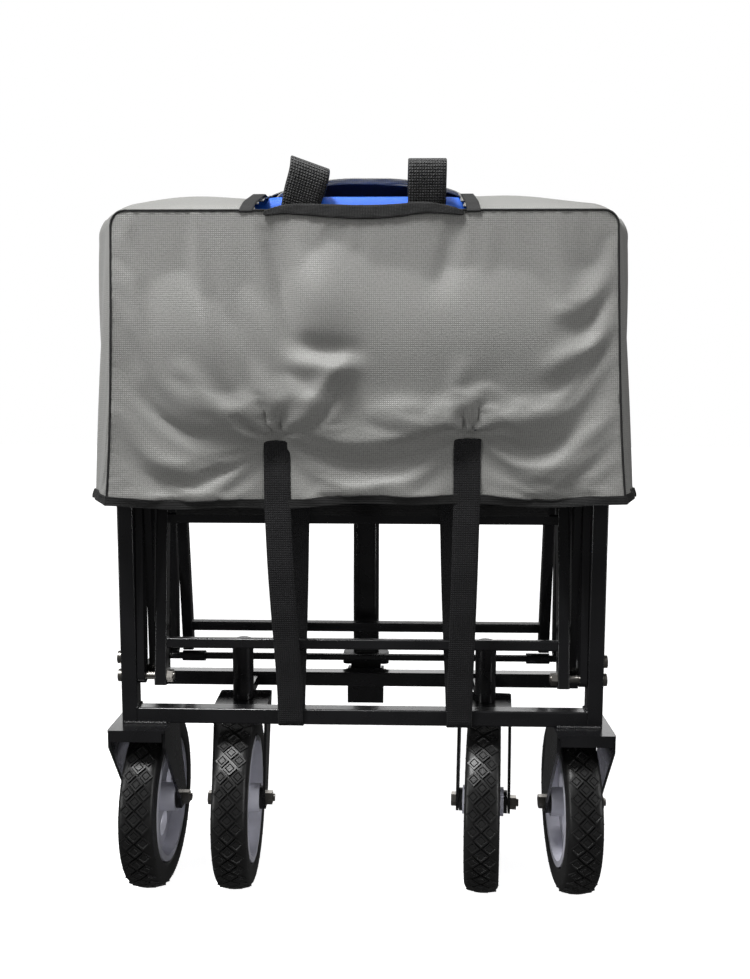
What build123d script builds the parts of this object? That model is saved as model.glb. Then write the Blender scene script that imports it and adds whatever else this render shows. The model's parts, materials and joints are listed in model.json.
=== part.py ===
from build123d import *
import os
from math import asin, cos, degrees, radians, sin

# Folding camp wagon, folded upright on its four wheels, with its storage cover on.
# X runs across the wagon, Y from the rear frame to the front frame, Z up.
# The origin is on the ground, under the middle of the folded wagon.

# ---- driving dimensions (mm) ----
FRAME_WIDTH = 490.0          # outside width of both end frames
FRAME_GAP = 124.0            # rear frame centre to front frame centre, folded
TUBE = 16.0                  # square tube of the end frames
TUBE_WALL = 1.4
TOP_TUBE = 12.0              # square tube of the end frames' top rails
POST_CAP = 3.0
WHEEL_RADIUS = 92.0
WHEEL_HEADROOM = 11.0        # from the tyres' tops to the bottom rails
RIM_RADIUS = 66.0
TYRE_WIDTH = 36.0
WHEEL_Y = 46.0               # axles behind the rear frame's centre plane
FLOOR_HALF = 473.0           # floor half, end pivot to middle hinge
FLOOR_TUBE = 12.0            # square tube of the floor halves
PIVOT_RISE = 48.0            # floor pivots above the bottom rails' undersides
LINK_WIDTH = 15.0
LINK_THICK = 7.0
LINK_GAP = 0.8               # side gap between post and outer links
LAYER_GAP = 1.0              # side gap between the two layers of links
FLOOR_SIDE_GAP = 2.0         # side gap between the inner links and the floor tubes
BRACKET_SPAN = 90.0          # pin distance of the brackets that join the cross links
FORK_CLEARANCE = 11.0        # from the tyre's side to the fork's outer face
FORK_SHEET = 2.8
REAR_LIP = 9.0               # down-turned front lips of the forks
CASTER_LIP = 4.0
REAR_PLATE_LENGTH = 62.0
REAR_PLATE_FRONT = 30.0      # how far the rear fork plate stands out of the frame plane
REAR_WHEEL_INSET = 20.0      # rear wheels' middle planes inside the frame's outer faces
CASTER_INSET = 90.0          # swivel axes inside the rear wheels' middle planes
CASTER_Y = 82.0              # swivel axes behind the rear frame's centre plane
CASTER_TURN_LEFT = 1.5       # how far each caster is turned as it stands (degrees)
CASTER_TURN_RIGHT = -6.5
STEM_RADIUS = 8.0
STEM_RISE = 63.0             # swivel stem above the caster's crown
AXLE_RADIUS = 4.0
BOLT_RADIUS = 4.0
RUNNING = 0.06               # radial clearance of pins and shafts
HANDLE_Y = 154.0             # handle centre line behind the rear frame's centre plane
HANDLE_TUBE = (30.0, 16.0)
HANDLE_OUTER_LENGTH = 334.0
HANDLE_OVERLAP = 260.0       # how far the inner handle tube reaches into the outer one
HANDLE_SHOWN = 95.0          # from the outer tube's top to the grip's centre line
GRIP_RADIUS = 13.0
GRIP_LENGTH = 116.0
SLEEVE_RADIUS = 12.0         # padded fabric sleeve on the middle hinge rod
LOOP_X = 57.0
LOOP_WIDTH = 38.0
LOOP_HEIGHT = 45.1           # grab loops' tops above the middle hinge
COVER_FRONT = 56.0           # front panel of the cover, in front of the rear frame plane
COVER_BACK = 140.0           # back panel of the cover, behind the rear frame plane
COVER_SIDE_ROOM = 19.0       # from the posts' outer faces to the cover's sides
COVER_RISE = 21.1            # ridge of the cover above the middle hinge
COVER_SLOPE = 35.0           # from the ridge down to the front edge of the cover's top
COVER_DROP = 309.0           # from the ridge down to the hem
COVER_WALL = 3.0
COVER_OPENING = 98.0         # half length of the opening in the top
STRAP_WIDTH = 25.0
STRAP_THICK = 1.6
STRAP_LEFT_X = -74.0
STRAP_RIGHT_X = 103.0
STRAP_SEWN = 62.0            # length of strap sewn to the cover above its hem
TUB_DEPTH = 250.0            # height of the gathered fabric tub
FABRIC = 3.0
SOFT_GAP = 0.3               # clearance of the soft parts from their neighbours
MAT_START = 165.0            # lower edge of each floor mat, from the floor half's end pivot
MAT_LENGTH = 250.0
MAT_SIDE_GAP = 9.2           # from the floor tubes' inner faces to the mats
BAR = 10.5                   # square tube of the floor halves' crossbars

# ---- derived places ----
RAIL_BOTTOM = 2 * WHEEL_RADIUS + WHEEL_HEADROOM
PIVOT_HEIGHT = RAIL_BOTTOM + PIVOT_RISE
Y_REAR = (COVER_FRONT + SOFT_GAP + STRAP_THICK - (HANDLE_Y + GRIP_RADIUS)) / 2
Y_FRONT = Y_REAR + FRAME_GAP
Y_MIDDLE = Y_REAR + FRAME_GAP / 2
POST_X = FRAME_WIDTH / 2 - TUBE / 2
POST_INNER = FRAME_WIDTH / 2 - TUBE
FOLD_ANGLE = degrees(asin(FRAME_GAP / 2 / FLOOR_HALF))
HINGE_Z = PIVOT_HEIGHT + FLOOR_HALF * cos(radians(FOLD_ANGLE))
POST_TOP = HINGE_Z - SLEEVE_RADIUS
LINK_LENGTH = POST_TOP - PIVOT_HEIGHT - TOP_TUBE - 8.5
LINK_A_X = POST_INNER - LINK_GAP - LINK_THICK
LINK_B_X = LINK_A_X - LAYER_GAP - LINK_THICK
LINK_REACH = FRAME_GAP / 2 - BRACKET_SPAN / 2
LINK_ANGLE = degrees(asin(LINK_REACH / LINK_LENGTH))
LINK_RISE = LINK_LENGTH * cos(radians(LINK_ANGLE))
FLOOR_OUTSIDE = LINK_B_X - FLOOR_SIDE_GAP
MAT_HALF_WIDTH = FLOOR_OUTSIDE - FLOOR_TUBE - MAT_SIDE_GAP
AXLE_Z = WHEEL_RADIUS
FORK_WIDTH = TYRE_WIDTH + 2 * FORK_CLEARANCE
FORK_INNER = FORK_WIDTH / 2 - FORK_SHEET
REAR_WHEEL_X = FRAME_WIDTH / 2 - REAR_WHEEL_INSET
CASTER_X = REAR_WHEEL_X - CASTER_INSET
CASTER_CROWN_TOP = RAIL_BOTTOM - 3.0
HANDLE_PIVOT_Z = RAIL_BOTTOM + 3.0
COVER_HALF_WIDTH = FRAME_WIDTH / 2 + COVER_SIDE_ROOM
COVER_TOP = HINGE_Z + COVER_RISE
COVER_SHOULDER = COVER_TOP - COVER_SLOPE
COVER_HEM = COVER_TOP - COVER_DROP
STRAP_SEWN_TOP = COVER_HEM + STRAP_SEWN
LOOP_TOP = HINGE_Z + LOOP_HEIGHT
TUB_TOP = POST_TOP - 10.0
TUB_BOTTOM = TUB_TOP - TUB_DEPTH

os.makedirs("parts", exist_ok=True)


def save(part, name):
    """Label a finished piece and write it to its own STEP file."""
    part.label = name
    export_step(part, f"parts/{name}.step")


def side_plane(base, offset):
    """A plane across base's X: sketch x runs along base's Y and sketch y along base's Z."""
    origin = base.from_local_coords(Vector(offset, 0, 0))
    return Plane(origin=origin, x_dir=base.y_dir, z_dir=base.x_dir)


def hollow_tube(plane, width, length, wall=TUBE_WALL):
    """A square tube with rounded corners, run from plane along its normal."""
    with BuildPart() as tube:
        with BuildSketch(plane):
            RectangleRounded(width, width, 1.8)
            Rectangle(width - 2 * wall, width - 2 * wall, mode=Mode.SUBTRACT)
        extrude(amount=length)
    return tube.part


# ---- end frames ----
def post(side, y, bolt_heights):
    """A corner post with a plastic cap on top and bolt holes across it."""
    foot = Plane(origin=(side * POST_X, y, RAIL_BOTTOM))
    with BuildPart() as part:
        add(hollow_tube(foot, TUBE, POST_TOP - RAIL_BOTTOM - POST_CAP))
        with BuildSketch(foot.offset(POST_TOP - RAIL_BOTTOM - POST_CAP)):
            RectangleRounded(TUBE, TUBE, 1.8)
        extrude(amount=POST_CAP)
        for height in bolt_heights:
            with BuildSketch(Plane.YZ.offset(side * POST_X)):
                with Locations((y, height)):
                    Circle(BOLT_RADIUS + RUNNING)
            extrude(amount=TUBE, both=True, mode=Mode.SUBTRACT)
    return part.part


def rail(y, bottom, width):
    """A cross rail between the posts."""
    start = Plane(origin=(-POST_INNER, y, bottom + width / 2), x_dir=(0, 1, 0), z_dir=(1, 0, 0))
    with BuildPart() as part:
        add(hollow_tube(start, width, 2 * POST_INNER))
    return part.part


UPPER_BOLT = PIVOT_HEIGHT + 19.0
for end, y in (("rear", Y_REAR), ("front", Y_FRONT)):
    for side_name, side in (("left", -1), ("right", 1)):
        heights = [PIVOT_HEIGHT, UPPER_BOLT] if end == "rear" else [PIVOT_HEIGHT]
        save(post(side, y, heights), f"{end}_post_{side_name}")
    save(rail(y, RAIL_BOTTOM, TUBE), f"{end}_bottom_rail")
    save(rail(y, POST_TOP - TOP_TUBE - 0.3, TOP_TUBE), f"{end}_top_rail")


# ---- fork and wheel shapes shared by all four wheels ----
def fork(base, plate_top, plate_near, plate_far, axle_y, flange):
    """A pressed fork: a plate, a down-turned lip and two tapering legs to the axle."""
    low = plate_top - FORK_SHEET
    with BuildPart() as part:
        with BuildSketch(base.offset(low)):
            with Locations((0, (plate_near + plate_far) / 2)):
                RectangleRounded(FORK_WIDTH, plate_far - plate_near, 3)
        extrude(amount=FORK_SHEET)
        with BuildSketch(side_plane(base, -FORK_WIDTH / 2 + 3)):
            with Locations((plate_near + FORK_SHEET / 2, low - flange / 2)):
                Rectangle(FORK_SHEET, flange)
        extrude(amount=FORK_WIDTH - 6)
        for offset in (-FORK_WIDTH / 2, FORK_INNER):
            with BuildSketch(side_plane(base, offset)):
                with BuildLine():
                    Polyline(
                        (plate_near + 3, low),
                        (plate_far - 3, low),
                        (axle_y + 13, AXLE_Z + 4),
                        (axle_y + 9, AXLE_Z - 9),
                        (axle_y - 9, AXLE_Z - 9),
                        (axle_y - 14, AXLE_Z + 5),
                        (plate_near + 3, low - 16),
                        close=True,
                    )
                make_face()
                with Locations((axle_y, AXLE_Z)):
                    Circle(AXLE_RADIUS + RUNNING, mode=Mode.SUBTRACT)
            extrude(amount=FORK_SHEET)
    return part.part


def axle(base, axle_y):
    """The axle bolt with its hexagon head and its nut outside the fork legs."""
    with BuildPart() as part:
        with BuildSketch(side_plane(base, -FORK_WIDTH / 2 - 5.5)):
            with Locations((axle_y, AXLE_Z)):
                RegularPolygon(7.5, 6)
        extrude(amount=5.5)
        with BuildSketch(side_plane(base, -FORK_WIDTH / 2)):
            with Locations((axle_y, AXLE_Z)):
                Circle(AXLE_RADIUS)
        extrude(amount=FORK_WIDTH + 9)
        with BuildSketch(side_plane(base, FORK_WIDTH / 2)):
            with Locations((axle_y, AXLE_Z)):
                RegularPolygon(7.5, 6)
        extrude(amount=6.5)
    return part.part


def tyre(plane):
    """A tyre with rounded shoulders, as a ring about the plane's normal."""
    with BuildPart() as part:
        with BuildSketch(plane.offset(-TYRE_WIDTH / 2)):
            Circle(WHEEL_RADIUS)
            Circle(RIM_RADIUS, mode=Mode.SUBTRACT)
        extrude(amount=TYRE_WIDTH)
        rims = part.edges().filter_by(GeomType.CIRCLE)
        fillet([edge for edge in rims if edge.radius > WHEEL_RADIUS - 0.5], 7)
    return part.part


HUB_BORE = 8.0
BOSS_HALF = TYRE_WIDTH / 2 + 4.0


def hub(plane):
    """A moulded hub: rim, web with five windows, and a boss bored for the bushes."""
    with BuildPart() as part:
        with BuildSketch(plane.offset(-TYRE_WIDTH / 2 + 1)):
            Circle(RIM_RADIUS)
            Circle(RIM_RADIUS - 6, mode=Mode.SUBTRACT)
        extrude(amount=TYRE_WIDTH - 2)
        with BuildSketch(plane.offset(-3)):
            Circle(RIM_RADIUS - 5)
            with PolarLocations(38, 5):
                SlotOverall(30, 22, rotation=90, mode=Mode.SUBTRACT)
        extrude(amount=6)
        with BuildSketch(plane.offset(-BOSS_HALF)):
            Circle(15)
        extrude(amount=2 * BOSS_HALF)
        with BuildSketch(plane.offset(-BOSS_HALF)):
            Circle(HUB_BORE)
        extrude(amount=2 * BOSS_HALF, mode=Mode.SUBTRACT)
    return part.part


def bushes(plane):
    """Two flanged sleeves pressed into the hub's boss, one at each end."""
    flange = FORK_INNER - BOSS_HALF - 0.4
    with BuildPart() as part:
        for side in (-1, 1):
            with BuildSketch(plane.offset(side * BOSS_HALF)):
                Circle(12)
                Circle(AXLE_RADIUS + RUNNING, mode=Mode.SUBTRACT)
            extrude(amount=side * flange)
            with BuildSketch(plane.offset(side * BOSS_HALF)):
                Circle(HUB_BORE)
                Circle(AXLE_RADIUS + RUNNING, mode=Mode.SUBTRACT)
            extrude(amount=-side * 14)
    return part.part


def wheel_set(base, axle_y, name):
    """Write the tyre, hub and bushes of one wheel."""
    centre = base.from_local_coords(Vector(0, axle_y, AXLE_Z))
    plane = Plane(origin=centre, x_dir=base.y_dir, z_dir=base.x_dir)
    save(tyre(plane), f"tyre_{name}")
    save(hub(plane), f"hub_{name}")
    save(bushes(plane), f"bushes_{name}")


# ---- rear wheels in fixed forks under the corners of the rear frame ----
for side_name, side in (("left", -1), ("right", 1)):
    base = Plane(origin=(side * REAR_WHEEL_X, Y_REAR, 0))
    plate_far = REAR_PLATE_LENGTH - REAR_PLATE_FRONT
    plate = fork(base, RAIL_BOTTOM, -REAR_PLATE_FRONT, plate_far, WHEEL_Y, REAR_LIP)
    save(plate, f"rear_fork_{side_name}")
    save(axle(base, WHEEL_Y), f"rear_axle_{side_name}")
    wheel_set(base, WHEEL_Y, f"rear_{side_name}")

# ---- casters under the front frame ----
TRAIL = CASTER_Y - WHEEL_Y
STEM_TOP = CASTER_CROWN_TOP + STEM_RISE
HOUSING_RADIUS = 11.5


def caster_fork(base):
    """The caster's fork with its swivel stem standing on the crown."""
    with BuildPart() as part:
        add(fork(base, CASTER_CROWN_TOP, -TRAIL + 4, 27, -TRAIL, CASTER_LIP))
        with BuildSketch(base.offset(CASTER_CROWN_TOP)):
            Circle(STEM_RADIUS)
        extrude(amount=STEM_TOP - CASTER_CROWN_TOP)
    return part.part


def caster_housing():
    """Both swivel housings, each with an arm to the front frame's bottom rail."""
    foot = CASTER_CROWN_TOP + 0.5
    arm_bottom = RAIL_BOTTOM + 1
    rail_face = Y_FRONT - TUBE / 2
    with BuildPart() as part:
        for side in (-1, 1):
            axis = (side * CASTER_X, Y_REAR + CASTER_Y)
            with BuildSketch(Plane.XY.offset(foot)):
                with Locations(axis):
                    Circle(HOUSING_RADIUS)
            extrude(amount=STEM_TOP + 5 - foot)
            with BuildSketch(Plane.XY.offset(arm_bottom)):
                with Locations((axis[0], (axis[1] + rail_face) / 2)):
                    Rectangle(2 * HOUSING_RADIUS, rail_face - axis[1])
            extrude(amount=12)
            with BuildSketch(Plane.XY.offset(foot)):
                with Locations(axis):
                    Circle(STEM_RADIUS + RUNNING)
            extrude(amount=STEM_TOP + 1 - foot, mode=Mode.SUBTRACT)
        tops = part.faces().filter_by(Axis.Z).group_by(Axis.Z)[-1]
        fillet(tops.edges(), 3)
    return part.part


save(caster_housing(), "caster_housings")
for side_name, side, turn in (("left", -1, CASTER_TURN_LEFT), ("right", 1, CASTER_TURN_RIGHT)):
    forward = (cos(radians(turn)), sin(radians(turn)), 0)
    base = Plane(origin=(side * CASTER_X, Y_REAR + CASTER_Y, 0), x_dir=forward, z_dir=(0, 0, 1))
    save(caster_fork(base), f"caster_fork_{side_name}")
    save(axle(base, -TRAIL), f"caster_axle_{side_name}")
    wheel_set(base, -TRAIL, f"front_{side_name}")

# ---- floor halves, folded up against each other ----
LEAF = 5.4
LEAF_LENGTH = 56.0
ROD_RADIUS = 4.0
TUBE_X = FLOOR_OUTSIDE - FLOOR_TUBE / 2


def floor_plane(end):
    """The plane at a floor half's end pivot, with its normal along the folded half."""
    lean = radians(FOLD_ANGLE) * end
    y = Y_REAR if end > 0 else Y_FRONT
    return Plane(origin=(0, y, PIVOT_HEIGHT), x_dir=(1, 0, 0), z_dir=(0, sin(lean), cos(lean)))


def floor_sides(end, foot):
    """Both side tubes of a floor half, each with a hinge leaf at the middle hinge."""
    base = floor_plane(end)
    leaf_x = TUBE_X - FLOOR_TUBE / 2 + LEAF / 2 if end > 0 else TUBE_X + FLOOR_TUBE / 2 - LEAF / 2
    with BuildPart() as part:
        for side in (-1, 1):
            with BuildSketch(base.offset(-foot)):
                with Locations((side * TUBE_X, 0)):
                    RectangleRounded(FLOOR_TUBE, FLOOR_TUBE, 1.5)
                    Rectangle(FLOOR_TUBE - 2.4, FLOOR_TUBE - 2.4, mode=Mode.SUBTRACT)
            extrude(amount=FLOOR_HALF - LEAF_LENGTH + foot)
            with BuildSketch(side_plane(base, side * leaf_x - LEAF / 2)):
                with Locations((0, FLOOR_HALF - LEAF_LENGTH / 2 - 2.5)):
                    Rectangle(11.0, LEAF_LENGTH + 5)
                with Locations((0, FLOOR_HALF)):
                    Circle(5.5)
            extrude(amount=LEAF)
            with BuildSketch(side_plane(base, side * leaf_x - LEAF / 2)):
                with Locations((0, FLOOR_HALF + 4)):
                    Rectangle(11.2, 8.0)
                with Locations((0, FLOOR_HALF)):
                    Circle(5.5, mode=Mode.SUBTRACT)
            extrude(amount=LEAF, mode=Mode.SUBTRACT)
            with BuildSketch(side_plane(base, side * TUBE_X - FLOOR_TUBE / 2 - 1)):
                with Locations((0, 0)):
                    Circle(BOLT_RADIUS + RUNNING)
                with Locations((0, FLOOR_HALF)):
                    Circle(ROD_RADIUS + RUNNING)
            extrude(amount=FLOOR_TUBE + 2, mode=Mode.SUBTRACT)
    return part.part


def floor_bars(end, heights):
    """The crossbars welded between the side tubes of a floor half."""
    base = floor_plane(end)
    inner = TUBE_X - FLOOR_TUBE / 2
    with BuildPart() as part:
        for height in heights:
            with BuildSketch(side_plane(base, -inner)):
                with Locations((0, height)):
                    RectangleRounded(BAR, BAR, 2)
                    Rectangle(BAR - 2.5, BAR - 2.5, mode=Mode.SUBTRACT)
            extrude(amount=2 * inner)
    return part.part


def floor_mat(end):
    """The stiffened fabric mat that lies on a floor half when the wagon is open."""
    base = floor_plane(end)
    face = -end * (BAR / 2 + SOFT_GAP + FABRIC / 2)
    with BuildPart() as part:
        with BuildSketch(base.offset(MAT_START)):
            with Locations((0, face)):
                Rectangle(2 * MAT_HALF_WIDTH, FABRIC)
        extrude(amount=MAT_LENGTH)
    return part.part


save(floor_sides(1, 9.0), "floor_rear_sides")
save(floor_bars(1, [34.0, 162.0]), "floor_rear_bars")
save(floor_mat(1), "floor_mat_rear")
save(floor_sides(-1, 6.5), "floor_front_sides")
save(floor_bars(-1, [22.0, 162.0]), "floor_front_bars")
save(floor_mat(-1), "floor_mat_front")


def cross_cylinder(y, z, half_length, radius, bore=0.0):
    """A round bar or sleeve across the wagon."""
    with BuildPart() as part:
        with BuildSketch(Plane.YZ.offset(-half_length)):
            with Locations((y, z)):
                Circle(radius)
                if bore:
                    Circle(bore, mode=Mode.SUBTRACT)
        extrude(amount=2 * half_length)
    return part.part


save(cross_cylinder(Y_MIDDLE, HINGE_Z, FLOOR_OUTSIDE + 0.6, ROD_RADIUS), "middle_hinge_rod")
sleeve = cross_cylinder(Y_MIDDLE, HINGE_Z, MAT_HALF_WIDTH, SLEEVE_RADIUS, ROD_RADIUS + SOFT_GAP)
save(sleeve, "middle_sleeve")


# ---- cross links and their brackets ----
def pivot_bolts(y, bolts, inner_end):
    """The bolts through the posts, links and floor tubes, heads outside and nuts inside."""
    with BuildPart() as part:
        for side in (-1, 1):
            for height, inside in bolts:
                with BuildSketch(Plane.YZ.offset(side * FRAME_WIDTH / 2)):
                    with Locations((y, height)):
                        Circle(6.5)
                extrude(amount=side * 4)
                with BuildSketch(Plane.YZ.offset(side * FRAME_WIDTH / 2)):
                    with Locations((y, height)):
                        Circle(BOLT_RADIUS)
                extrude(amount=-side * (FRAME_WIDTH / 2 - inside))
            with BuildSketch(Plane.YZ.offset(side * inner_end)):
                with Locations((y, PIVOT_HEIGHT)):
                    RegularPolygon(6.5, 6)
            extrude(amount=-side * 6)
    return part.part


NUT_FACE = FLOOR_OUTSIDE - FLOOR_TUBE - 0.3
rear_bolts = [(PIVOT_HEIGHT, NUT_FACE - 7), (UPPER_BOLT, POST_INNER)]
save(pivot_bolts(Y_REAR, rear_bolts, NUT_FACE), "rear_pivot_bolts")
save(pivot_bolts(Y_FRONT, rear_bolts[:1], NUT_FACE), "front_pivot_bolts")

PIN_RADIUS = 3.0
PIN_PROUD = 1.2


def link_bars(end, is_outer):
    """A pair of cross links. The outer pair carries the crossing pins; the rear pairs hold the brackets."""
    y = Y_REAR if end > 0 else Y_FRONT
    lean = LINK_ANGLE * end
    middle = (y + end * LINK_REACH / 2, PIVOT_HEIGHT + LINK_RISE / 2)
    turn = 90 - lean if is_outer else 90 + lean
    low = (y, PIVOT_HEIGHT) if is_outer else (y + end * LINK_REACH, PIVOT_HEIGHT)
    high = (y + end * LINK_REACH, PIVOT_HEIGHT + LINK_RISE) if is_outer else (y, PIVOT_HEIGHT + LINK_RISE)
    inner_face = LINK_A_X if is_outer else LINK_B_X
    with BuildPart() as part:
        for side in (-1, 1):
            start = inner_face if side > 0 else -inner_face - LINK_THICK
            with BuildSketch(Plane.YZ.offset(start)):
                with Locations(middle):
                    SlotCenterToCenter(LINK_LENGTH, LINK_WIDTH, rotation=turn)
                if is_outer:
                    with Locations(low):
                        Circle(BOLT_RADIUS + RUNNING, mode=Mode.SUBTRACT)
                else:
                    with Locations(middle):
                        Circle(PIN_RADIUS + RUNNING, mode=Mode.SUBTRACT)
            extrude(amount=LINK_THICK)
            if is_outer:
                for place in (middle, high) if end > 0 else (middle,):
                    with BuildSketch(Plane.YZ.offset(side * LINK_A_X)):
                        with Locations(place):
                            Circle(PIN_RADIUS)
                    extrude(amount=-side * (LINK_THICK + PIN_PROUD))
            elif end > 0:
                with BuildSketch(Plane.YZ.offset(side * (LINK_B_X + LINK_THICK))):
                    with Locations(low):
                        Circle(PIN_RADIUS)
                extrude(amount=side * (LINK_THICK + PIN_PROUD))
    return part.part


def bracket(height, inner_face, pin_y):
    """The pair of plates at the middle of the sides that join the rear and front links."""
    far_y = pin_y + BRACKET_SPAN
    with BuildPart() as part:
        for side in (-1, 1):
            start = inner_face if side > 0 else -inner_face - LINK_THICK
            with BuildSketch(Plane.YZ.offset(start)):
                with Locations(((pin_y + far_y) / 2, height)):
                    SlotCenterToCenter(BRACKET_SPAN, LINK_WIDTH - 1)
                for y in (pin_y, far_y):
                    with Locations((y, height)):
                        Circle(PIN_RADIUS + RUNNING, mode=Mode.SUBTRACT)
            extrude(amount=LINK_THICK)
    return part.part


save(link_bars(1, True), "link_rear_outer")
save(link_bars(1, False), "link_rear_inner")
save(link_bars(-1, True), "link_front_outer")
save(link_bars(-1, False), "link_front_inner")
save(bracket(PIVOT_HEIGHT + LINK_RISE, LINK_B_X, Y_REAR + LINK_REACH), "side_top_brackets")
save(bracket(PIVOT_HEIGHT, LINK_A_X, Y_REAR + LINK_REACH), "side_foot_brackets")

# ---- tie rod of the front frame, with its plastic end caps ----
TIE_Z = RAIL_BOTTOM + 32.6
CAP_LENGTH = 26.0
CAP_INNER = FLOOR_OUTSIDE - 25.2
with BuildPart() as tie_rod:
    add(cross_cylinder(Y_FRONT, TIE_Z, POST_INNER, 3.9))
    for side in (-1, 1):
        with BuildSketch(Plane.YZ.offset(side * CAP_INNER)):
            with Locations((Y_FRONT, TIE_Z)):
                Circle(6.0)
        extrude(amount=side * CAP_LENGTH)
save(tie_rod.part, "front_tie_rod")

# ---- pull handle, stored upright on the front frame ----
EAR = 3.0
EAR_X = 21.0
HANDLE_YC = Y_REAR + HANDLE_Y
BRACKET_BOTTOM = RAIL_BOTTOM - 25.0
rail_face = Y_FRONT + TUBE / 2
with BuildPart() as handle_bracket:
    with BuildSketch(Plane.XY.offset(BRACKET_BOTTOM)):
        with Locations((0, rail_face + EAR / 2)):
            Rectangle(2 * EAR_X, EAR)
    extrude(amount=RAIL_BOTTOM + TUBE - BRACKET_BOTTOM)
    for start in (-EAR_X, EAR_X - EAR):
        with BuildSketch(Plane.YZ.offset(start)):
            with BuildLine():
                Polyline(
                    (rail_face, BRACKET_BOTTOM),
                    (rail_face, RAIL_BOTTOM + TUBE),
                    (HANDLE_YC + 8, HANDLE_PIVOT_Z + 8),
                    (HANDLE_YC + 9, HANDLE_PIVOT_Z - 6),
                    close=True,
                )
            make_face()
            with Locations((HANDLE_YC, HANDLE_PIVOT_Z)):
                Circle(BOLT_RADIUS + RUNNING, mode=Mode.SUBTRACT)
        extrude(amount=EAR)
save(handle_bracket.part, "handle_bracket")

with BuildPart() as handle_pin:
    add(cross_cylinder(HANDLE_YC, HANDLE_PIVOT_Z, EAR_X + 2, BOLT_RADIUS))
    for side in (-1, 1):
        with BuildSketch(Plane.YZ.offset(side * EAR_X)):
            with Locations((HANDLE_YC, HANDLE_PIVOT_Z)):
                Circle(6.5)
        extrude(amount=side * 3)
save(handle_pin.part, "handle_pin")

YOKE_TOP = HANDLE_PIVOT_Z + 28.0
YOKE_COLLAR = 12.5
HANDLE_OUTER_TOP = YOKE_TOP + HANDLE_OUTER_LENGTH
HANDLE_INNER_BOTTOM = HANDLE_OUTER_TOP - HANDLE_OVERLAP
GRIP_HEIGHT = HANDLE_OUTER_TOP + HANDLE_SHOWN
with BuildPart() as yoke:
    with BuildSketch(Plane.YZ.offset(-EAR_X + EAR + 0.5)):
        with Locations((HANDLE_YC, HANDLE_PIVOT_Z)):
            Circle(9)
        with Locations((HANDLE_YC, (HANDLE_PIVOT_Z + YOKE_TOP) / 2)):
            Rectangle(18, YOKE_TOP - HANDLE_PIVOT_Z)
    extrude(amount=2 * (EAR_X - EAR - 0.5))
    with BuildSketch(Plane.XY.offset(YOKE_TOP - YOKE_COLLAR)):
        with Locations((0, HANDLE_YC)):
            RectangleRounded(54, 22, 6)
    extrude(amount=YOKE_COLLAR)
    fillet(yoke.faces().sort_by(Axis.Z)[-1].edges(), 2.5)
    with BuildSketch(Plane.YZ.offset(-EAR_X)):
        with Locations((HANDLE_YC, HANDLE_PIVOT_Z)):
            Circle(BOLT_RADIUS + RUNNING)
    extrude(amount=2 * EAR_X, mode=Mode.SUBTRACT)
save(yoke.part, "handle_yoke")

TUBE_SLIDE_GAP = 0.5
with BuildPart() as outer_tube:
    with BuildSketch(Plane.XY.offset(YOKE_TOP)):
        with Locations((0, HANDLE_YC)):
            SlotOverall(*HANDLE_TUBE)
            SlotOverall(HANDLE_TUBE[0] - 3, HANDLE_TUBE[1] - 3, mode=Mode.SUBTRACT)
    extrude(amount=HANDLE_OUTER_TOP - YOKE_TOP)
save(outer_tube.part, "handle_outer_tube")

inner_size = (HANDLE_TUBE[0] - 3 - 2 * TUBE_SLIDE_GAP, HANDLE_TUBE[1] - 3 - 2 * TUBE_SLIDE_GAP)
with BuildPart() as inner_tube:
    with BuildSketch(Plane.XY.offset(HANDLE_INNER_BOTTOM)):
        with Locations((0, HANDLE_YC)):
            SlotOverall(*inner_size)
            SlotOverall(inner_size[0] - 3, inner_size[1] - 3, mode=Mode.SUBTRACT)
    extrude(amount=GRIP_HEIGHT - GRIP_RADIUS - HANDLE_INNER_BOTTOM)
save(inner_tube.part, "handle_inner_tube")

with BuildPart() as grip:
    with BuildSketch(Plane.YZ.offset(-GRIP_LENGTH / 2)):
        with Locations((HANDLE_YC, GRIP_HEIGHT)):
            Circle(GRIP_RADIUS)
    extrude(amount=GRIP_LENGTH)
    fillet(grip.edges().filter_by(GeomType.CIRCLE), 5)
    with BuildSketch(Plane.XY.offset(GRIP_HEIGHT - GRIP_RADIUS)):
        with Locations((0, HANDLE_YC)):
            RectangleRounded(44, 22, 6)
    extrude(amount=GRIP_RADIUS)
save(grip.part, "handle_grip")


# ---- fabric tub, gathered up between the end frames ----
def end_panel(y):
    """The tub's end panel, flat on the outside of an end frame."""
    with BuildPart() as part:
        with BuildSketch(Plane.XY.offset(TUB_BOTTOM)):
            with Locations((0, y)):
                Rectangle(FRAME_WIDTH - 10, FABRIC)
        extrude(amount=TUB_TOP - TUB_BOTTOM)
    return part.part


def side_gather(end):
    """Both pleated side panels of one half, gathered outside the posts."""
    near = Y_REAR + 2 if end > 0 else Y_MIDDLE + 1
    with BuildPart() as part:
        for side in (-1, 1):
            with BuildSketch(Plane.XY.offset(TUB_BOTTOM)):
                with Locations((side * (FRAME_WIDTH / 2 + 0.5 + 5.5), near + 29.5)):
                    Rectangle(11, 59)
            extrude(amount=TUB_TOP - TUB_BOTTOM)
    return part.part


panel_gap = TUBE / 2 + SOFT_GAP + FABRIC / 2
save(end_panel(Y_REAR - panel_gap), "tub_rear_panel")
save(end_panel(Y_FRONT + panel_gap), "tub_front_panel")
save(side_gather(1), "tub_side_rear")
save(side_gather(-1), "tub_side_front")


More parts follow.
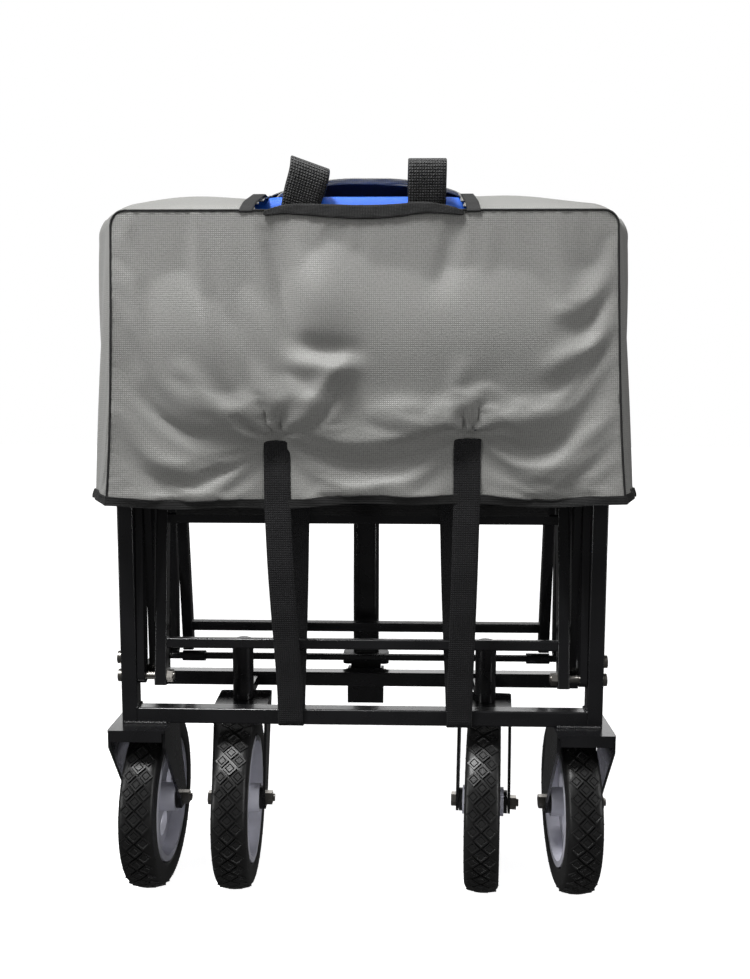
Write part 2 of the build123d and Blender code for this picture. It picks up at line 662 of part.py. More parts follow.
# ---- webbing grab loops on the middle hinge ----
with BuildPart() as loops:
    reach = SLEEVE_RADIUS + SOFT_GAP
    for side in (-1, 1):
        with BuildSketch(Plane.YZ.offset(side * LOOP_X - LOOP_WIDTH / 2)):
            outer = reach + 2.6
            arc_z = LOOP_TOP - outer
            with Locations((Y_MIDDLE, arc_z)):
                Circle(outer)
                Circle(reach, mode=Mode.SUBTRACT)
            with Locations((Y_MIDDLE, (HINGE_Z - 4 + arc_z) / 2)):
                Rectangle(2 * outer, arc_z - HINGE_Z + 4)
            with Locations((Y_MIDDLE, (HINGE_Z - 10 + arc_z) / 2)):
                Rectangle(2 * reach, arc_z - HINGE_Z + 10, mode=Mode.SUBTRACT)
            with Locations((Y_MIDDLE, arc_z)):
                Circle(reach, mode=Mode.SUBTRACT)
        extrude(amount=LOOP_WIDTH)
save(loops.part, "grab_loops")


# ---- drop-over storage cover ----
def cover_outline(inset):
    """Points of the cover's side outline: straight panels under a ridge that slopes both ways."""
    front = Y_REAR - COVER_FRONT + inset
    back = Y_REAR + COVER_BACK - inset
    drop = inset
    bottom = COVER_HEM if inset == 0 else COVER_HEM - 5
    return [
        (front, bottom),
        (front, COVER_SHOULDER - drop),
        (front + 22, COVER_TOP - 11 - drop),
        (Y_MIDDLE - 25, COVER_TOP - drop),
        (Y_MIDDLE + 25, COVER_TOP - drop),
        (back - 6, COVER_TOP - 14 - drop),
        (back, COVER_SHOULDER - drop),
        (back, bottom),
    ]


with BuildPart() as cover:
    with BuildSketch(Plane.YZ.offset(-COVER_HALF_WIDTH)):
        with BuildLine():
            Polyline(*cover_outline(0), close=True)
        make_face()
    extrude(amount=2 * COVER_HALF_WIDTH)
    with BuildSketch(Plane.YZ.offset(-COVER_HALF_WIDTH + COVER_WALL)):
        with BuildLine():
            Polyline(*cover_outline(COVER_WALL), close=True)
        make_face()
    extrude(amount=2 * (COVER_HALF_WIDTH - COVER_WALL), mode=Mode.SUBTRACT)
    with BuildSketch(Plane.XY.offset(COVER_TOP - 45)):
        with Locations((0, Y_MIDDLE - 4)):
            RectangleRounded(2 * COVER_OPENING, 96, 20)
    extrude(amount=60, mode=Mode.SUBTRACT)
save(cover.part, "cover_shell")


def strap_outline():
    """Points of a webbing strap: down the cover's front, under the rear rail and up behind it."""
    panel = Y_REAR - COVER_FRONT - SOFT_GAP
    rail_front = Y_REAR - TUBE / 2 - 0.8
    rail_back = Y_REAR + TUBE / 2 + 3.0
    under = RAIL_BOTTOM - 0.8
    return [
        (panel, STRAP_SEWN_TOP),
        (panel, COVER_HEM),
        (rail_front, RAIL_BOTTOM + 14),
        (rail_front, under),
        (rail_back, under),
        (rail_back, COVER_HEM + 2),
        (rail_back + STRAP_THICK, COVER_HEM + 2),
        (rail_back + STRAP_THICK, under - STRAP_THICK),
        (rail_front - STRAP_THICK, under - STRAP_THICK),
        (rail_front - STRAP_THICK, RAIL_BOTTOM + 14),
        (panel - STRAP_THICK, COVER_HEM),
        (panel - STRAP_THICK, STRAP_SEWN_TOP),
    ]


with BuildPart() as straps:
    for x in (STRAP_LEFT_X, STRAP_RIGHT_X):
        with BuildSketch(Plane.YZ.offset(x - STRAP_WIDTH / 2)):
            with BuildLine():
                Polyline(*strap_outline(), close=True)
            make_face()
        extrude(amount=STRAP_WIDTH)
save(straps.part, "cover_straps")
print("floor fold angle", round(FOLD_ANGLE, 3), "link angle", round(LINK_ANGLE, 3))
print("rear frame y", Y_REAR, "middle hinge z", round(HINGE_Z, 2), "link rise", round(LINK_RISE, 2))
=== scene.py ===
# %% [markdown]
# # A folding camp wagon under its storage cover
# The steel frame, wheels and handle come in as a fixed CAD frame. This lesson adds what a
# frame cannot give: sewn fabric, webbing, tyre tread, weld beads and every surface finish.

# %% Load the frame
import json
from math import atan2, pi, radians, sin

import bpy
import numpy as np
from mathutils import Matrix, Vector


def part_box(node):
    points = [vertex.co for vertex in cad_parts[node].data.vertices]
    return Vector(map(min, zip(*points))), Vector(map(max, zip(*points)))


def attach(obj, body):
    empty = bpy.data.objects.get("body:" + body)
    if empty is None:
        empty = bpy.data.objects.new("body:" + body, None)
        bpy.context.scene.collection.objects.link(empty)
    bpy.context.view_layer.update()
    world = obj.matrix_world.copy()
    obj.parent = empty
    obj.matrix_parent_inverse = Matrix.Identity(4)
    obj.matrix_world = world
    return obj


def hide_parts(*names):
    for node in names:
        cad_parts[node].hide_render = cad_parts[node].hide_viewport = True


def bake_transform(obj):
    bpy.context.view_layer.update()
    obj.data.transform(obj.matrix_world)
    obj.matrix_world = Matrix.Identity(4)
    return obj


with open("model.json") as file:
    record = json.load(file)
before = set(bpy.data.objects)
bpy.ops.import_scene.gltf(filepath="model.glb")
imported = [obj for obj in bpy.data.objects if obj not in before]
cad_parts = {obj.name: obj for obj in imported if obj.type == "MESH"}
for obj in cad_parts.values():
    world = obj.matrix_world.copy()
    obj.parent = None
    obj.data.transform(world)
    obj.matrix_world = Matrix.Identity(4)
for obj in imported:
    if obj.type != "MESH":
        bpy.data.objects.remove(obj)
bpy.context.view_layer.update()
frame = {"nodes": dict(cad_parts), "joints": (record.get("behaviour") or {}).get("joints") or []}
print("frame loaded:", len(frame["nodes"]), "nodes")

# %% [markdown]
# Every place below is worked out from the frame's own boxes, so the fabric always fits the
# steel. The rear frame is the one nearest the camera.

# %% Places taken from the frame
def box(node):
    """A node's lowest and highest corner as two arrays."""
    low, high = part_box(node)
    return np.array(low), np.array(high)


def middle(node):
    """The centre of a node's box."""
    low, high = box(node)
    return (low + high) / 2


REAR_Y = middle("rear_post_left")[1]
FRONT_Y = middle("front_post_left")[1]
MIDDLE_Y = (REAR_Y + FRONT_Y) / 2
COVER_LOW, COVER_HIGH = box("cover_shell")
RAIL_LOW, RAIL_HIGH = box("rear_bottom_rail")
HINGE_Z = middle("middle_hinge_rod")[2]
print("rear frame at y", round(REAR_Y, 4), "middle hinge at z", round(HINGE_Z, 4))

# %% [markdown]
# Small helpers keep the steps short. Operators act on whatever is selected, so each new
# piece starts from an empty selection. Meshes are read and written as arrays.

# %% Helpers for selecting and editing
def nothing_selected():
    """Leave edit mode and deselect everything."""
    if bpy.context.object and bpy.context.object.mode != "OBJECT":
        bpy.ops.object.mode_set(mode="OBJECT")
    bpy.ops.object.select_all(action="DESELECT")


def only(obj):
    """Make obj the one selected and active object."""
    nothing_selected()
    obj.select_set(True)
    bpy.context.view_layer.objects.active = obj


def new_piece(name):
    """Name the primitive that was just added."""
    obj = bpy.context.object
    obj.name = name
    obj.data.name = name
    return obj


def points(obj):
    """The mesh's vertex places as an array of rows."""
    flat = np.empty(len(obj.data.vertices) * 3)
    obj.data.vertices.foreach_get("co", flat)
    return flat.reshape(-1, 3)


def set_points(obj, places):
    """Write vertex places back to the mesh."""
    obj.data.vertices.foreach_set("co", np.asarray(places, float).ravel())
    obj.data.update()


def apply_place(obj):
    """Put the object's place, turn and size into its mesh."""
    only(obj)
    bpy.ops.object.transform_apply(location=True, rotation=True, scale=True)


def apply_all(obj):
    """Apply the piece's modifiers in order."""
    only(obj)
    for modifier in list(obj.modifiers):
        bpy.ops.object.modifier_apply(modifier=modifier.name)


def thicken(obj, thickness, offset=0.0):
    """Give a sheet its thickness."""
    wall = obj.modifiers.new("Wall", "SOLIDIFY")
    wall.thickness = thickness
    wall.offset = offset
    apply_all(obj)


def smooth(obj, angle=40):
    """Shade smooth, and keep edges sharper than the angle."""
    only(obj)
    bpy.ops.object.shade_smooth_by_angle(angle=radians(angle))


def outward(obj):
    """Turn every face's normal outwards."""
    only(obj)
    bpy.ops.object.mode_set(mode="EDIT")
    bpy.ops.mesh.select_all(action="SELECT")
    bpy.ops.mesh.normals_make_consistent(inside=False)
    bpy.ops.object.mode_set(mode="OBJECT")


def joined(objs, name):
    """Join several objects into one piece."""
    nothing_selected()
    for obj in objs:
        obj.select_set(True)
    bpy.context.view_layer.objects.active = objs[0]
    bpy.ops.object.join()
    return new_piece(name)


def map_uv(obj, uv):
    """Write one UV place, in metres, for each vertex."""
    layer = obj.data.uv_layers.active or obj.data.uv_layers.new(name="cut")
    corner = np.empty(len(obj.data.loops), dtype=np.int32)
    obj.data.loops.foreach_get("vertex_index", corner)
    layer.data.foreach_set("uv", np.asarray(uv, float)[corner].ravel())


def cube_uv(obj):
    """Unwrap from six sides, one unit to a metre."""
    only(obj)
    bpy.ops.object.mode_set(mode="EDIT")
    bpy.ops.mesh.select_all(action="SELECT")
    bpy.ops.uv.cube_project(cube_size=1.0)
    bpy.ops.object.mode_set(mode="OBJECT")


def along(route, count):
    """Evenly spaced points on a smooth line that rounds the route's corners, and its length."""
    route = np.array(route, float)
    for _ in range(3):
        near = route[:-1] * 0.75 + route[1:] * 0.25
        far = route[:-1] * 0.25 + route[1:] * 0.75
        route = np.vstack((route[:1], np.column_stack((near, far)).reshape(-1, route.shape[1]), route[-1:]))
    lengths = np.concatenate(([0], np.cumsum(np.linalg.norm(np.diff(route, axis=0), axis=1))))
    even = np.linspace(0, lengths[-1], count)
    evened = [np.interp(even, lengths, column) for column in route.T]
    return np.column_stack(evened), lengths[-1]


print("helpers ready")

# %% [markdown]
# ## Finishes
# A finish is a few nodes: a base colour with a little variation, a roughness, and a bump at
# the scale of the real surface. One starter function makes the shader and the object
# coordinates, and each finish adds its own pattern.

# %% A starter for node materials
def starter(name, color, roughness):
    """A material with one shader, given a colour and a roughness."""
    material = bpy.data.materials.new(name)
    material.use_nodes = True
    nodes = material.node_tree.nodes
    shader = nodes["Principled BSDF"]
    shader.inputs["Base Color"].default_value = (*color, 1)
    shader.inputs["Roughness"].default_value = roughness
    coordinates = nodes.new("ShaderNodeTexCoord")
    return material, nodes, material.node_tree.links, shader, coordinates


def add_noise(nodes, links, vector, scale, detail=4.0):
    """A noise texture read at the given coordinates."""
    noise = nodes.new("ShaderNodeTexNoise")
    noise.inputs["Scale"].default_value = scale
    noise.inputs["Detail"].default_value = detail
    links.new(vector, noise.inputs["Vector"])
    return noise


def add_ramp(nodes, links, value, low, high, dark, light):
    """Colours between dark and light as value goes from low to high."""
    ramp = nodes.new("ShaderNodeValToRGB")
    ramp.color_ramp.elements[0].position = low
    ramp.color_ramp.elements[1].position = high
    ramp.color_ramp.elements[0].color = (*dark, 1)
    ramp.color_ramp.elements[1].color = (*light, 1)
    links.new(value, ramp.inputs["Fac"])
    return ramp


def add_range(nodes, links, value, low, high):
    """Value, from 0 to 1, stretched between low and high."""
    scale = nodes.new("ShaderNodeMapRange")
    scale.inputs["To Min"].default_value = low
    scale.inputs["To Max"].default_value = high
    links.new(value, scale.inputs["Value"])
    return scale


def add_bump(nodes, links, shader, height, strength, distance):
    """A bump on the shader."""
    bump = nodes.new("ShaderNodeBump")
    bump.inputs["Strength"].default_value = strength
    bump.inputs["Distance"].default_value = distance
    links.new(height, bump.inputs["Height"])
    links.new(bump.outputs["Normal"], shader.inputs["Normal"])
    return bump


def tinted(color, factor):
    """A colour made lighter or darker."""
    return tuple(min(channel * factor, 1.0) for channel in color)


print("material helpers ready")

# %% [markdown]
# Powder coat is a thick black paint baked on steel. It is glossy, with a faint orange peel
# and a little dust that dulls the gloss in patches. Zinc is a grey metal with a fine grain.

# %% Hard finishes
def hard_finish(name, color, roughness, grain, peel, metal=0.0, coat=0.0):
    """Paint, metal or moulded plastic: patches in the gloss and a fine bump."""
    material, nodes, links, shader, where = starter(name, color, roughness)
    shader.inputs["Metallic"].default_value = metal
    shader.inputs["Coat Weight"].default_value = coat
    shader.inputs["Coat Roughness"].default_value = 0.12
    place = where.outputs["Object"]
    patches = add_noise(nodes, links, place, 28.0)
    gloss = add_range(nodes, links, patches.outputs["Fac"], roughness * 0.75, roughness * 1.35)
    links.new(gloss.outputs["Result"], shader.inputs["Roughness"])
    tone = add_ramp(nodes, links, patches.outputs["Fac"], 0.3, 0.7, tinted(color, 0.85), tinted(color, 1.15))
    links.new(tone.outputs["Color"], shader.inputs["Base Color"])
    fine = add_noise(nodes, links, place, grain, 2.0)
    add_bump(nodes, links, shader, fine.outputs["Fac"], peel, 0.0004)
    return material


POWDER_BLACK = hard_finish("powder_black", (0.010, 0.010, 0.011), 0.26, 420.0, 0.10, coat=0.35)
ZINC = hard_finish("zinc_plate", (0.42, 0.40, 0.37), 0.30, 900.0, 0.12, metal=1.0)
HUB_GREY = hard_finish("hub_grey", (0.74, 0.74, 0.82), 0.38, 1300.0, 0.10)
MOULDED_BLACK = hard_finish("moulded_black", (0.014, 0.014, 0.015), 0.42, 1500.0, 0.22)
RUBBER = hard_finish("tyre_rubber", (0.014, 0.014, 0.014), 0.36, 700.0, 0.30)
GRIP_FOAM = hard_finish("grip_foam", (0.018, 0.018, 0.018), 0.72, 1100.0, 0.55)
print("hard finishes:", 6)

# %% [markdown]
# Woven cloth needs its threads. Two waves crossed at the thread's pitch make the over and
# under of a plain weave, and they follow the cloth because they read its own UV map, which
# is in metres. A soft noise adds the uneven colour of dyed yarn, and sheen the pale glow of
# its fibres at grazing angles.

# %% Woven finishes
def woven(name, color, roughness, pitch, relief, contrast, sheen, rib=1.0):
    """Cloth or webbing with threads of the given pitch in metres."""
    material, nodes, links, shader, where = starter(name, color, roughness)
    shader.inputs["Sheen Weight"].default_value = sheen
    shader.inputs["Sheen Roughness"].default_value = 0.45
    uv = where.outputs["UV"]
    waves = []
    for direction, share in (("X", 1.0), ("Y", rib)):
        wave = nodes.new("ShaderNodeTexWave")
        wave.bands_direction = direction
        wave.inputs["Scale"].default_value = share * pi / (10 * pitch)
        wave.inputs["Distortion"].default_value = 0.4
        wave.inputs["Detail"].default_value = 1.0
        links.new(uv, wave.inputs["Vector"])
        waves.append(wave.outputs["Fac"])
    weave = nodes.new("ShaderNodeMath")
    weave.operation = "MULTIPLY"
    links.new(waves[0], weave.inputs[0])
    links.new(waves[1], weave.inputs[1])
    yarn = add_noise(nodes, links, uv, 0.9 / pitch, 3.0)
    mixed = nodes.new("ShaderNodeMath")
    mixed.operation = "MULTIPLY_ADD"
    mixed.inputs[1].default_value = 1.1
    links.new(yarn.outputs["Fac"], mixed.inputs[0])
    links.new(weave.outputs["Value"], mixed.inputs[2])
    dark, light = tinted(color, 1 - contrast), tinted(color, 1 + contrast)
    tone = add_ramp(nodes, links, mixed.outputs["Value"], 0.35, 1.25, dark, light)
    dye = add_noise(nodes, links, where.outputs["Object"], 9.0, 3.0)
    faded = nodes.new("ShaderNodeMixRGB")
    faded.blend_type = "MULTIPLY"
    faded.inputs["Fac"].default_value = 0.35
    links.new(tone.outputs["Color"], faded.inputs["Color1"])
    shade = add_ramp(nodes, links, dye.outputs["Fac"], 0.3, 0.7, (0.78, 0.78, 0.78), (1, 1, 1))
    links.new(shade.outputs["Color"], faded.inputs["Color2"])
    links.new(faded.outputs["Color"], shader.inputs["Base Color"])
    add_bump(nodes, links, shader, mixed.outputs["Value"], relief, pitch * 0.5)
    return material


COVER_CLOTH = woven("cover_oxford_grey", (0.275, 0.274, 0.262), 0.50, 0.0019, 0.30, 0.24, 0.22)
TUB_CLOTH = woven("tub_oxford_blue", (0.006, 0.135, 0.78), 0.55, 0.0013, 0.35, 0.15, 0.15)
NAVY_LINING = woven("lining_navy", (0.012, 0.016, 0.040), 0.60, 0.0012, 0.30, 0.15, 0.10)
MAT_CLOTH = woven("mat_oxford_black", (0.014, 0.014, 0.016), 0.62, 0.0013, 0.40, 0.20, 0.10)
BINDING = woven("binding_tape", (0.010, 0.010, 0.010), 0.75, 0.0012, 0.60, 0.30, 0.04, rib=0.5)
WEBBING = woven("webbing_black", (0.007, 0.007, 0.008), 0.80, 0.0022, 0.60, 0.35, 0.02)
LOOP_WEBBING = woven("loop_webbing", (0.022, 0.022, 0.022), 0.60, 0.0026, 1.0, 0.75, 0.20)
print("woven finishes:", 7)

# %% [markdown]
# The CAD nodes keep their shape and only get a finish, chosen by what the piece is made of.

# %% Paint the frame
def finish_of(node):
    """The finish of a CAD node, from its name."""
    if node.startswith("hub_"):
        return HUB_GREY
    if node.startswith("tyre_"):
        return RUBBER
    if "axle" in node or "bolts" in node or node in ("handle_pin", "middle_hinge_rod"):
        return ZINC
    if node == "handle_grip":
        return GRIP_FOAM
    if node.startswith("bushes_") or node in ("handle_yoke", "side_top_brackets", "side_foot_brackets"):
        return MOULDED_BLACK
    return POWDER_BLACK


for node, obj in frame["nodes"].items():
    obj.data.materials.clear()
    obj.data.materials.append(finish_of(node))
print("painted", len(frame["nodes"]), "frame nodes")

# %% [markdown]
# ## Tyres
# The tread is a lattice of raised diamonds, each with a smaller diamond inside. One block is
# modelled, a short stretch of tread is made from copies of it, and an array turns that
# stretch round the tyre. The carcass is a ring pushed out to a tyre's squarish section.

# %% The tyre's carcass
TYRE_LOW, TYRE_HIGH = box("tyre_rear_left")
TYRE_RADIUS = (TYRE_HIGH[2] - TYRE_LOW[2]) / 2
TYRE_HALF = (TYRE_HIGH[0] - TYRE_LOW[0]) / 2
BEAD_RADIUS = 0.066
BLOCK_HEIGHT = 0.0024
BLOCK_ROOT = 0.0016          # how far a block reaches into the carcass
TREAD_COUNT = 34

nothing_selected()
CARCASS_RADIUS = TYRE_RADIUS - BLOCK_HEIGHT
ring_middle = (CARCASS_RADIUS + BEAD_RADIUS) / 2
ring_half = (CARCASS_RADIUS - BEAD_RADIUS) / 2
bpy.ops.mesh.primitive_torus_add(
    major_radius=ring_middle, minor_radius=ring_half, major_segments=4 * TREAD_COUNT, minor_segments=32,
    rotation=(0, pi / 2, 0),
)
tyre = new_piece("tyre_pattern")
apply_place(tyre)
place = points(tyre)
around = np.arctan2(place[:, 1], place[:, 2])
out = np.hypot(place[:, 1], place[:, 2]) - ring_middle
angle = np.arctan2(place[:, 0], out)
SQUARENESS = 0.42            # below 1 fills the corners of the ring's section
out = ring_half * np.sign(np.cos(angle)) * np.abs(np.cos(angle)) ** SQUARENESS
side = TYRE_HALF * np.sign(np.sin(angle)) * np.abs(np.sin(angle)) ** SQUARENESS
radius = ring_middle + out
set_points(tyre, np.column_stack((side, radius * np.sin(around), radius * np.cos(around))))
smooth(tyre, 60)
print("tyre carcass radius", round(CARCASS_RADIUS, 4))

# %% One tread block
BLOCK_PITCH = 2 * pi * TYRE_RADIUS / TREAD_COUNT


def tread_block(across, ahead, tilt, size):
    """A diamond block with a sunk rim and a smaller diamond inside, standing on the tread."""
    nothing_selected()
    bpy.ops.mesh.primitive_cylinder_add(vertices=4, radius=size, depth=BLOCK_HEIGHT + BLOCK_ROOT)
    obj = bpy.context.object
    bpy.ops.object.mode_set(mode="EDIT")
    bpy.ops.mesh.select_mode(type="FACE")
    bpy.ops.mesh.select_all(action="DESELECT")
    bpy.ops.object.mode_set(mode="OBJECT")
    for face in obj.data.polygons:
        face.select = face.normal.z > 0.9
    bpy.ops.object.mode_set(mode="EDIT")
    bpy.ops.mesh.inset(thickness=size * 0.20)
    bpy.ops.mesh.inset(thickness=size * 0.10)
    bpy.ops.transform.translate(value=(0, 0, -0.0008))
    bpy.ops.mesh.inset(thickness=size * 0.06)
    bpy.ops.transform.translate(value=(0, 0, 0.0008))
    bpy.ops.object.mode_set(mode="OBJECT")
    turn = Matrix.Rotation(ahead / TYRE_RADIUS, 4, "X") @ Matrix.Translation((across, 0, 0))
    lean = Matrix.Rotation(tilt, 4, "Y")
    foot = TYRE_RADIUS - (BLOCK_HEIGHT + BLOCK_ROOT) / 2 - abs(tilt) * 0.0065
    obj.data.transform(turn @ Matrix.Translation((0, 0, foot)) @ lean)
    return obj


half = BLOCK_PITCH / 2
COLUMN = 0.0085
blocks = [
    tread_block(-COLUMN, 0, -0.14, half * 0.84),
    tread_block(COLUMN, 0, 0.14, half * 0.84),
    tread_block(0, half, 0.0, half * 0.86),
    tread_block(-0.0148, half, -0.80, half * 0.34),
    tread_block(0.0148, half, 0.80, half * 0.34),
]
tread = joined(blocks, "tread_pattern")
print("blocks in one stretch:", len(blocks))

# %% Turn the stretch round the tyre
nothing_selected()
bpy.ops.object.empty_add(rotation=(2 * pi / TREAD_COUNT, 0, 0))
step = bpy.context.object
array = tread.modifiers.new("Round", "ARRAY")
array.use_relative_offset = False
array.use_object_offset = True
array.offset_object = step
array.count = TREAD_COUNT
apply_all(tread)
bpy.data.objects.remove(step)
tyre_pattern = joined([tyre, tread], "tyre_pattern")
print("tyre faces:", len(tyre_pattern.data.polygons))

# %% Put a tyre on each wheel
def wheel_turn(node):
    """How far a wheel is turned about Z, from its spin joint."""
    for joint in frame["joints"]:
        if node in joint["name"]:
            return atan2(joint["axis"][1], joint["axis"][0])
    return 0.0


for end in ("front", "rear"):
    for side_name in ("left", "right"):
        wheel = tyre_pattern.copy()
        wheel.data = tyre_pattern.data.copy()
        wheel.name = f"treaded_tyre_{end}_{side_name}"
        bpy.context.collection.objects.link(wheel)
        centre = middle(f"hub_{end}_{side_name}")
        turn = Matrix.Rotation(wheel_turn(f"{end}_wheel_{side_name}"), 4, "Z")
        wheel.data.transform(Matrix.Translation(Vector(centre)) @ turn)
        wheel.data.materials.clear()
        wheel.data.materials.append(RUBBER)
        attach(wheel, f"wheel_{end}_{side_name}")
        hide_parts(f"tyre_{end}_{side_name}")
bpy.data.objects.remove(tyre_pattern)
print("tyres fitted")

# %% [markdown]
# ## Weld beads
# The rails are welded to the posts and the fork plates to the rails. A weld is a row of
# overlapping drops, so a small flattened ball is repeated along each joint.

# %% Welds
def weld(name, start, end, body, size=0.0018):
    """A weld bead from start to end."""
    start, end = Vector(start), Vector(end)
    count = max(2, int((end - start).length / (size * 0.9)))
    drops = []
    for index in range(count + 1):
        nothing_selected()
        spot = start.lerp(end, index / count)
        wobble = 0.0003 * sin(2.3 * index)
        spot = spot + Vector((0, 0, wobble))
        bpy.ops.mesh.primitive_ico_sphere_add(subdivisions=1, radius=size, location=spot)
        drops.append(bpy.context.object)
    bead = joined(drops, name)
    apply_place(bead)
    smooth(bead, 80)
    bead.data.materials.append(POWDER_BLACK)
    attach(bead, body)


POST_INSIDE = box("rear_post_right")[0][0]
rail_front = RAIL_LOW[1]
for side_name, side in (("left", -1), ("right", 1)):
    x = side * POST_INSIDE
    weld(
        f"weld_rail_{side_name}",
        (x, rail_front + 0.001, RAIL_HIGH[2]),
        (x, RAIL_HIGH[1], RAIL_HIGH[2]),
        "rear_frame",
    )
    fork_low, fork_high = box(f"rear_fork_{side_name}")
    inner = fork_low[0] if side > 0 else fork_high[0]
    weld(
        f"weld_fork_{side_name}",
        (inner + side * 0.004, rail_front - 0.0008, fork_high[2] + 0.0006),
        (inner + side * 0.046, rail_front - 0.0008, fork_high[2] + 0.0006),
        "rear_frame",
        0.0021,
    )
print("welds made")

# %% [markdown]
# ## Storage cover
# The cover is sewn from a front and a back panel with one gusset between them. It starts as
# a cube cut into fine squares. Each square's corner is then sent to its place on the sewn
# form: the gusset puffs out between its seams, the roof slopes from a ridge, the upper
# corners are round, and the front panel is drawn in where the two straps are sewn to it.

# %% Cut the cube into fine squares
CUTS = 95
nothing_selected()
bpy.ops.mesh.primitive_cube_add(size=1)
cover = new_piece("storage_cover")
bpy.ops.object.mode_set(mode="EDIT")
bpy.ops.mesh.select_all(action="SELECT")
bpy.ops.mesh.subdivide(number_cuts=CUTS)
bpy.ops.mesh.select_all(action="DESELECT")
bpy.ops.object.mode_set(mode="OBJECT")
for face in cover.data.polygons:
    face.select = face.center.z < -0.499
bpy.ops.object.mode_set(mode="EDIT")
bpy.ops.mesh.delete(type="ONLY_FACE")
bpy.ops.object.mode_set(mode="OBJECT")
print("cover squares:", len(cover.data.polygons))

# %% The sewn form
SHOULDER_Z = COVER_HIGH[2] - 0.035
HEM_Z = COVER_LOW[2]
OPENING_HALF = 0.098
STRAP_LEFT = (-0.0795, 0.4865)
STRAP_RIGHT = (0.102, 0.4895)


def roof_height(v):
    """Height of the roof from its front edge, v = 0, to its back edge, v = 1."""
    rise = np.array([0, 11, 20, 31, 33, 20, 0]) / 1000
    return np.interp(v, [0, 0.12, 0.27, 0.45, 0.72, 0.95, 1], SHOULDER_Z + rise)


def hem_height(u, v):
    """Height of the wavy hem."""
    wave = 0.0022 * np.sin(5.2 * u + 0.8) + 0.0012 * np.sin(13 * u + 2)
    return HEM_Z + 0.001 + 0.0035 * u + wave + 0.002 * np.sin(9 * v)


# Each fold of the front panel: its route in x and z, its height (a valley is negative) and width.
FOLDS = [
    ([(-0.093, 0.485), (-0.123, 0.507), (-0.138, 0.528), (-0.163, 0.553)], 0.0060, 0.010),
    ([(-0.067, 0.482), (-0.054, 0.507), (-0.039, 0.535), (-0.011, 0.560)], 0.0060, 0.009),
    ([(-0.087, 0.497), (-0.110, 0.528), (-0.135, 0.560), (-0.150, 0.640)], 0.0032, 0.010),
    ([(-0.095, 0.560), (-0.149, 0.655)], -0.0035, 0.014),
    ([(-0.093, 0.690), (-0.080, 0.669), (-0.069, 0.608), (-0.060, 0.574), (-0.007, 0.570)], -0.0060, 0.011),
    ([(-0.045, 0.650), (-0.030, 0.605)], 0.0065, 0.030),
    ([(-0.060, 0.560), (-0.007, 0.556)], 0.0045, 0.010),
    ([(-0.205, 0.520), (-0.150, 0.498)], -0.0060, 0.018),
    ([(-0.205, 0.472), (-0.165, 0.462)], 0.0050, 0.013),
    ([(0.089, 0.491), (0.077, 0.510), (0.049, 0.519), (0.015, 0.514)], 0.0065, 0.012),
    ([(0.115, 0.492), (0.133, 0.510), (0.154, 0.520), (0.189, 0.510)], 0.0065, 0.012),
    ([(0.092, 0.501), (0.087, 0.535), (0.095, 0.556)], 0.0035, 0.008),
    ([(0.175, 0.556), (0.205, 0.575), (0.235, 0.584)], 0.0055, 0.010),
    ([(0.195, 0.588), (0.230, 0.602)], -0.0055, 0.013),
    ([(0.185, 0.607), (0.231, 0.626)], 0.0050, 0.010),
    ([(0.195, 0.642), (0.225, 0.652)], -0.0050, 0.012),
    ([(0.165, 0.454), (0.200, 0.478), (0.231, 0.511)], 0.0055, 0.010),
    ([(0.090, 0.690), (0.072, 0.633)], -0.0035, 0.016),
    ([(-0.030, 0.470), (0.060, 0.470)], -0.0055, 0.022),
    ([(0.150, 0.480), (0.205, 0.483)], -0.0045, 0.015),
    ([(-0.150, 0.455), (-0.115, 0.463)], -0.0045, 0.014),
]
FOLD_DEPTH = 1.35            # every fold's height is multiplied by this
SEAM_BACK = 0.004            # the front seam lies this far behind the cover's front face
FULLNESS = 0.013             # how far the panel's middle bellies out
TUCK = 0.010                 # how far the panel's lower part is drawn in above the hem
DRAWN_IN = 0.010             # how far the cloth is pulled in at a strap's sewn top


def fold(x, z, route, height, width):
    """One soft fold along a smooth route, with tapering ends."""
    line, _ = along(route, 26)
    taper = np.sin(pi * np.linspace(0.06, 0.94, 26)) ** 0.5
    away = np.hypot(x[..., None] - line[:, 0], z[..., None] - line[:, 1])
    return height * np.max(taper * np.exp(-((away / width) ** 2)), axis=-1)


def seam_half(side, w):
    """Half width of the front panel on either side, at the share w of its height."""
    return np.where(side < 0, 0.229 + 0.007 * (1 - w), 0.235 + 0.010 * (1 - w))


def front_puff(x, z):
    """How far the front panel stands out of its flat seam plane."""
    x, z = np.asarray(x, float), np.asarray(z, float)
    w = np.clip((z - HEM_Z) / (SHOULDER_Z - HEM_Z), 0, 1)
    u = np.clip(x / seam_half(x, w), -1, 1)
    out = FULLNESS * np.exp(-(((w - 0.58) / 0.25) ** 2)) * (1 - u**6)
    out = out - TUCK * np.clip(1 - w / 0.5, 0, 1) ** 2 * (1 - u**8)
    for route, height, width in FOLDS:
        out = out + FOLD_DEPTH * fold(x, z, route, height, width)
    for top_x, top_z in (STRAP_LEFT, STRAP_RIGHT):
        dx, dz = x - top_x, z - top_z
        out = out - DRAWN_IN * np.exp(-((np.hypot(dx, dz) / 0.038) ** 2))
        sewn_down = 0.5 - 0.5 * np.tanh(dz / 0.006)
        out = out - 0.005 * np.exp(-((dx / 0.024) ** 2)) * sewn_down
        turn = np.arctan2(dx, dz)
        reach = np.exp(-np.hypot(dx, dz) / 0.035) * (1 - np.exp(-((np.hypot(dx, dz) / 0.014) ** 2)))
        out = out + 0.0035 * np.cos(9 * turn) * reach * (1 - sewn_down)
    out = out + 0.0010 * np.sin(31 * x + 17 * z) * np.sin(23 * z - 9 * x + 1.3)
    hem = 0.0030 * np.sin(24 * x + 0.6) * (1 - w) ** 3
    return (out + hem) * (1 - u**10) * (1 - w**14)


